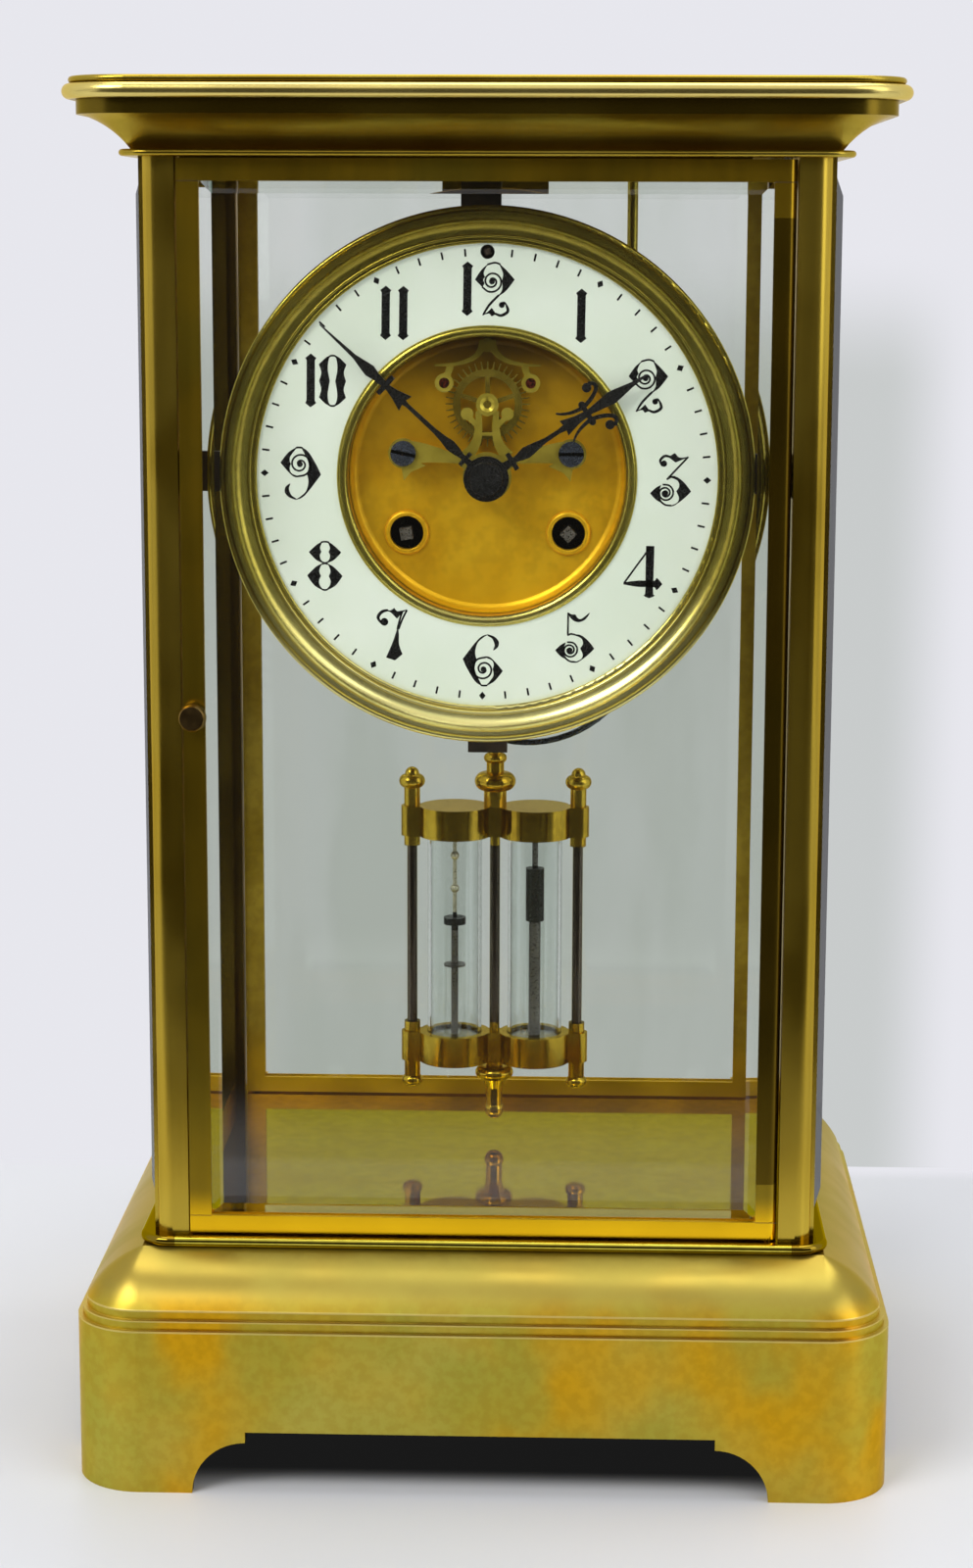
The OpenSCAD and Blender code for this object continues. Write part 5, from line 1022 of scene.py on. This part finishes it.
@dataclass
class PrintedDial:
    """Black hour numbers and minute track, fired on the enamel.

    Lengths are in millimetres; ink_spread and places are in thousandths of a number's height.
    """

    shift: Point = (-0.3, 0.15)
    turn: float = -0.65
    number_radius: float = 39.4
    number_height: float = 11.2
    ink_spread: float = 6.0
    tick_from: float = 46.3
    tick_to: float = 47.9
    tick_width: float = 0.42
    lozenge: Point = (0.72, 0.88)
    layer: float = 0.012
    places: dict[str, tuple[float, ...]] = field(
        default_factory=lambda: {"10": (-288, 126), "11": (-166, 166), "12": (-390, 123)}
    )

    def place(self) -> Matrix:
        """Returns the move from the print's plane to the enamel's face, in metres."""
        middle = Vector((self.shift[0], ENAMEL_Y - self.layer, DIAL_Z + self.shift[1])) * MM
        return Matrix.Translation(middle) @ STAND_UP @ Matrix.Rotation(math.radians(self.turn), 4, "Z")

    def numbers(self) -> Object:
        """Draws the twelve hour numbers.

        Returns:
            The numbers as one piece.
        """
        parts = []
        size = self.number_height * MM / NUMBER_UNITS
        half = NUMBER_UNITS / 2
        for hour in range(1, 13):
            angle = math.radians(90 - 30 * hour)
            cx, cy = (self.number_radius * MM * way for way in (math.cos(angle), math.sin(angle)))
            word = str(hour)
            for sign, side in zip(word, self.places.get(word, (0.0,))):
                for outline in NUMBERS[sign]:
                    inked = swollen(outline, self.ink_spread)
                    points = [(cx + size * (x + side), cy + size * (y - half)) for x, y in inked]
                    parts.append(Bench.layer(points, self.layer * MM))
        return Bench.join(parts, "dial_numbers")

    def track(self) -> Object:
        """Draws the minute strokes and the lozenges at the hours.

        Returns:
            The track as one piece.
        """
        parts = []
        low, high = self.tick_from, self.tick_to
        middle = (low + high) / 2
        half = self.tick_width / 2
        wide, long = self.lozenge
        stroke = [(low, -half), (high, -half), (high, half), (low, half)]
        lozenge = [(middle - long, 0.0), (middle, -wide), (middle + long, 0.0), (middle, wide)]
        # The regulating arbor takes the place of the lozenge at twelve.
        for minute in range(1, 60):
            angle = math.radians(90 - 6 * minute)
            along = Vector((math.cos(angle), math.sin(angle)))
            across = Vector((-along.y, along.x))
            corners = stroke if minute % 5 else lozenge
            points = [tuple((along * a + across * b) * MM) for a, b in corners]
            parts.append(Bench.layer(points, self.layer * MM))
        return Bench.join(parts, "minute_track")

    def build(self) -> None:
        """Lays the print on the enamel."""
        for piece in (self.numbers(), self.track()):
            Bench.settle(piece, self.place())
            Bench.deliver(piece, Body.CASE, Slot.BLACK, INK)


@dataclass
class Gong:
    """Coiled wire gong that hangs by its outer end; millimetres, with its centre from the dial's middle."""

    centre: Point = (6.5, -42.9)
    radius: float = 28.5
    step: float = 4.2
    turns: float = 3.5
    wire: float = 0.75
    depth: float = 34.5
    rings: int = 64
    facets: int = 3
    smooth_angle: float = 40.0

    def route(self) -> list[Point]:
        """Returns the wire's centre line, from its straight end inwards."""
        cx, cy = self.centre
        top = (cx + self.radius, cy)
        run = [(top[0], top[1] + 4 * self.wire), (top[0], top[1] + 2 * self.wire)]
        for i in range(int(self.rings * self.turns) + 1):
            t = i / self.rings
            angle = -2 * math.pi * t
            size = self.radius - self.step * t
            run.append((cx + size * math.cos(angle), cy + size * math.sin(angle)))
        return run

    def build(self) -> None:
        """Winds the wire and stands it in for the plain coil."""
        Bench.clear()
        bpy.ops.curve.primitive_nurbs_path_add()
        coil = bpy.context.object
        coil.data.splines.clear()
        coil.data.dimensions = "3D"
        coil.data.bevel_depth = self.wire * MM
        coil.data.bevel_resolution = self.facets
        coil.data.use_fill_caps = True
        run = self.route()
        line = coil.data.splines.new("POLY")
        line.points.add(len(run) - 1)
        for knot, (x, up) in zip(line.points, run):
            knot.co = (x * MM, self.depth * MM, (DIAL_Z + up) * MM, 1.0)
        bpy.ops.object.convert(target="MESH")
        coil = Bench.join([bpy.context.object], "gong_coil")
        bpy.ops.object.shade_smooth_by_angle(angle=math.radians(self.smooth_angle))
        Bench.deliver(coil, Body.CASE, Slot.BLUED, BLUED)
        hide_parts("gong")


@dataclass
class FrameSeams:
    """Hairline joints where a door's rails meet its stiles, in millimetres."""

    outer: float = 63.9
    stile: float = 4.7
    low: float = 57.4
    high: float = 279.2
    face: float = 59.8
    width: float = 0.14
    proud: float = 0.012

    def build(self, body: Body, turn: float) -> None:
        """Draws the joints on one door.

        Args:
            body: The door's body.
            turn: Turn of the door about the case's middle in degrees.
        """
        parts = []
        half = self.width / 2
        for side in (-1, 1):
            for height in (self.low, self.high):
                ends = (side * (self.outer - self.stile), side * self.outer)
                corners = [(ends[0], -half), (ends[1], -half), (ends[1], half), (ends[0], half)]
                points = [(x * MM, (height + z) * MM) for x, z in corners]
                parts.append(Bench.layer(points, self.proud * MM / 2))
        piece = Bench.join(parts, f"{body.value}_seams")
        forward = Matrix.Translation(Vector((0.0, -self.face * MM, 0.0)))
        Bench.settle(piece, Matrix.Rotation(math.radians(turn), 4, "Z") @ forward @ STAND_UP)
        Bench.deliver(piece, body, Slot.AGED, IRON)


@dataclass
class Studio:
    """Pale floor and wall, soft lamps, dark cards for the reflections, and the camera.

    The eye, lens and sensor are in millimetres, angles in radians and the rest in metres.
    """

    eye: Triple = (22.44, -706.66, 270.17)
    yaw: float = -0.0338
    pitch: float = -0.1781
    roll: float = 0.0031
    lens: float = 71.148
    sensor: float = 36.0
    clip: Limits = (0.01, 50.0)
    wall: Rgb = (0.8, 0.8, 0.85)
    room: Rgb = (1.0, 0.98, 0.95)
    room_light: float = 0.32
    table: tuple[Rgb, Rgb] = ((0.71, 0.73, 0.78), (0.74, 0.76, 0.81))
    table_size: float = 12.0
    table_clouds: float = 6.0
    table_detail: float = 3.0
    table_rough: float = 0.45
    table_edge: Limits = (0.154, 0.166)
    table_fade: Limits = (0.5, 1.1)
    dark: Rgb = (0.05, 0.047, 0.04)
    edge: Rgb = (0.6, 0.6, 0.6)
    card_fade: Limits = (0.2, 0.5)

    def camera(self) -> None:
        """Sets the camera at the photograph's place and angle."""
        data = bpy.data.cameras.new("view")
        data.sensor_width = self.sensor
        data.lens = self.lens
        data.clip_start, data.clip_end = self.clip
        view = bpy.data.objects.new("view", data)
        bpy.context.scene.collection.objects.link(view)
        level = math.cos(self.pitch)
        ahead = Vector((math.sin(self.yaw) * level, math.cos(self.yaw) * level, math.sin(self.pitch)))
        right = Vector((math.cos(self.yaw), -math.sin(self.yaw), 0.0))
        up = right.cross(ahead)
        across = right * math.cos(self.roll) + up * math.sin(self.roll)
        above = up * math.cos(self.roll) - right * math.sin(self.roll)
        turn = Matrix((across, above, -ahead)).transposed().to_4x4()
        view.matrix_world = Matrix.Translation(Vector(self.eye) * MM) @ turn
        bpy.context.scene.camera = view

    def lamp(self, name: str, place: Triple, aim: Triple, size: Point, watts: float, colour: Rgb) -> None:
        """Hangs one soft rectangular lamp.

        Args:
            name: Name of the lamp.
            place: Where it hangs, in metres.
            aim: The point that it faces.
            size: Its width and height.
            watts: Its power.
            colour: Its colour.
        """
        data = bpy.data.lights.new(name, "AREA")
        data.shape = "RECTANGLE"
        data.size, data.size_y = size
        data.energy = watts
        data.color = colour
        lamp = bpy.data.objects.new(name, data)
        bpy.context.scene.collection.objects.link(lamp)
        lamp.location = place
        lamp.rotation_euler = (Vector(aim) - Vector(place)).to_track_quat("-Z", "Y").to_euler()

    def floor(self) -> None:
        """Lays the white table, with the pale wall's colour beyond its far edge and far out."""
        Bench.clear()
        bpy.ops.mesh.primitive_plane_add(size=self.table_size)
        slab = bpy.context.object
        slab.name = "floor"
        sheet = Sheet("pale_floor")
        cloud = sheet.noise(self.table_clouds, self.table_detail)
        colour = sheet.blend(sheet.span(cloud, 0.0, 1.0), *self.table)
        shader = sheet.node("ShaderNodeBsdfPrincipled", Base_Color=colour, Roughness=self.table_rough)
        beyond = sheet.spread(sheet.axes()["Y"], self.table_edge, (0.0, 1.0))
        reach = sheet.node("ShaderNodeVectorMath", Vector=sheet.where)
        reach.operation = "LENGTH"
        far = sheet.spread(reach.outputs["Value"], self.table_fade, (0.0, 1.0))
        seen = sheet.math("MULTIPLY", far, sheet.node("ShaderNodeLightPath").outputs["Is Camera Ray"])
        away = sheet.math("MAXIMUM", beyond, seen)
        mix = sheet.either(away, shader, sheet.glow((*self.wall, 1.0)))
        slab.data.materials.append(sheet.finish(mix))

    @staticmethod
    def panel(name: str, place: Triple, size: Point, tilt: float) -> Object:
        """Sets a flat panel that neither lights nor shades anything.

        Args:
            name: Name of the panel.
            place: Its middle in metres.
            size: Its width and height.
            tilt: Its angle from lying flat in degrees.

        Returns:
            The panel.
        """
        Bench.clear()
        turn = (math.radians(tilt), 0.0, 0.0)
        bpy.ops.mesh.primitive_plane_add(size=1.0, location=place, rotation=turn)
        made = bpy.context.object
        made.name = name
        made.scale = (*size, 1.0)
        made.visible_diffuse = False
        made.visible_shadow = False
        return made

    def card(self, name: str, place: Triple, size: Point, tilt: float) -> None:
        """Sets a dark card that shows in reflections alone and fades out at its upper or near edge."""
        card = self.panel(name, place, size, tilt)
        card.visible_camera = False
        sheet = Sheet(name)
        fade = sheet.spread(sheet.axes()["Y"], self.card_fade, (0.0, 1.0))
        shade = sheet.glow(sheet.blend(fade, self.dark, self.edge))
        depth = sheet.node("ShaderNodeLightPath").outputs["Glossy Depth"]
        reflected = sheet.math("GREATER_THAN", depth, 0.5)
        mix = sheet.either(reflected, sheet.node("ShaderNodeBsdfTransparent"), shade)
        card.data.materials.append(sheet.finish(mix))

    def shadow(self, name: str, place: Triple, size: Point, tilt: float, colour: Rgb, soft: float) -> None:
        """Lays a soft shadow on the table or on the wall, which shows from its front side alone.

        Args:
            name: Name of the shadow.
            place: Its middle in metres.
            size: Its width and height.
            tilt: Its angle from lying flat in degrees.
            colour: Its darkest colour.
            soft: Share of its size that the soft edge takes.
        """
        patch = self.panel(name, place, size, tilt)
        sheet = Sheet(name)
        axes = sheet.axes()
        # A panel's own coordinates run from -0.5 to 0.5.
        rim = (0.5, 0.5 - soft)
        shares = [sheet.spread(sheet.math("ABSOLUTE", axes[axis]), rim, (0.0, 1.0)) for axis in "XY"]
        behind = sheet.node("ShaderNodeNewGeometry").outputs["Backfacing"]
        front = sheet.math("SUBTRACT", 1.0, behind)
        share = sheet.math("MULTIPLY", sheet.math("MULTIPLY", *shares), front)
        clear = sheet.node("ShaderNodeBsdfTransparent")
        mix = sheet.either(share, clear, sheet.glow((*colour, 1.0)))
        patch.data.materials.append(sheet.finish(mix))

    def world(self) -> None:
        """Lights the room softly, with a pale wall behind the clock."""
        world = bpy.data.worlds.new("room")
        bpy.context.scene.world = world
        world.use_nodes = True
        tree = world.node_tree
        tree.nodes.clear()
        out = tree.nodes.new("ShaderNodeOutputWorld")
        wall = tree.nodes.new("ShaderNodeBackground")
        wall.inputs["Color"].default_value = (*self.wall, 1.0)
        room = tree.nodes.new("ShaderNodeBackground")
        room.inputs["Color"].default_value = (*self.room, 1.0)
        room.inputs["Strength"].default_value = self.room_light
        path = tree.nodes.new("ShaderNodeLightPath").outputs
        shown = path["Is Camera Ray"]
        for ray in ("Is Glossy Ray", "Is Transmission Ray"):
            either = tree.nodes.new("ShaderNodeMath")
            either.operation = "MAXIMUM"
            tree.links.new(shown, either.inputs[0])
            tree.links.new(path[ray], either.inputs[1])
            shown = either.outputs[0]
        mix = tree.nodes.new("ShaderNodeMixShader")
        for place, output in enumerate((shown, room.outputs[0], wall.outputs[0])):
            tree.links.new(output, mix.inputs[place])
        tree.links.new(mix.outputs[0], out.inputs[0])

    def build(self) -> None:
        """Sets the whole studio."""
        self.camera()
        self.floor()
        self.world()
        self.card("dark_wall", (0.0, -0.58, 0.27), (1.4, 0.54), 90.0)
        self.card("dark_table", (0.0, -0.43, 0.0006), (1.4, 0.3), 0.0)
        self.shadow("shadow_below", (0.0, 0.0, 0.0004), (0.176, 0.146), 0.0, (0.01, 0.01, 0.01), 0.08)
        self.shadow("shadow_behind", (0.0175, 0.168, 0.102), (0.225, 0.325), 90.0, (0.58, 0.6, 0.6), 0.12)
        self.lamp("key", (-0.9, -1.1, 1.3), (0.0, 0.0, 0.16), (0.9, 0.9), 19.0, (1.0, 0.98, 0.95))
        self.lamp("fill", (1.1, -0.9, 0.8), (0.0, 0.0, 0.15), (1.3, 1.3), 8.0, (0.97, 0.98, 1.0))
        self.lamp("top", (0.1, 0.2, 1.6), (0.0, 0.0, 0.1), (1.2, 1.2), 14.0, (1.0, 1.0, 1.0))
        bpy.context.scene.view_settings.view_transform = "Standard"


def dress_nodes() -> None:
    """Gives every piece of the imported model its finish."""
    for name, finish in NODE_FINISH.items():
        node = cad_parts[name]
        node.data.materials.clear()
        node.data.materials.append(Bench.coat(finish))
        log.info("node %s wears %s", name, finish.name)


def main() -> None:
    """Builds the studio and the clock's pieces in order."""
    logging.basicConfig(level=logging.INFO, format="%(name)s: %(message)s")
    Studio().build()
    dress_nodes()
    PrintedDial().build()
    Gong().build()
    FrameSeams().build(Body.FRONT_DOOR, 0.0)
    FrameSeams().build(Body.REAR_DOOR, 180.0)


if __name__ == "__main__":
    main()
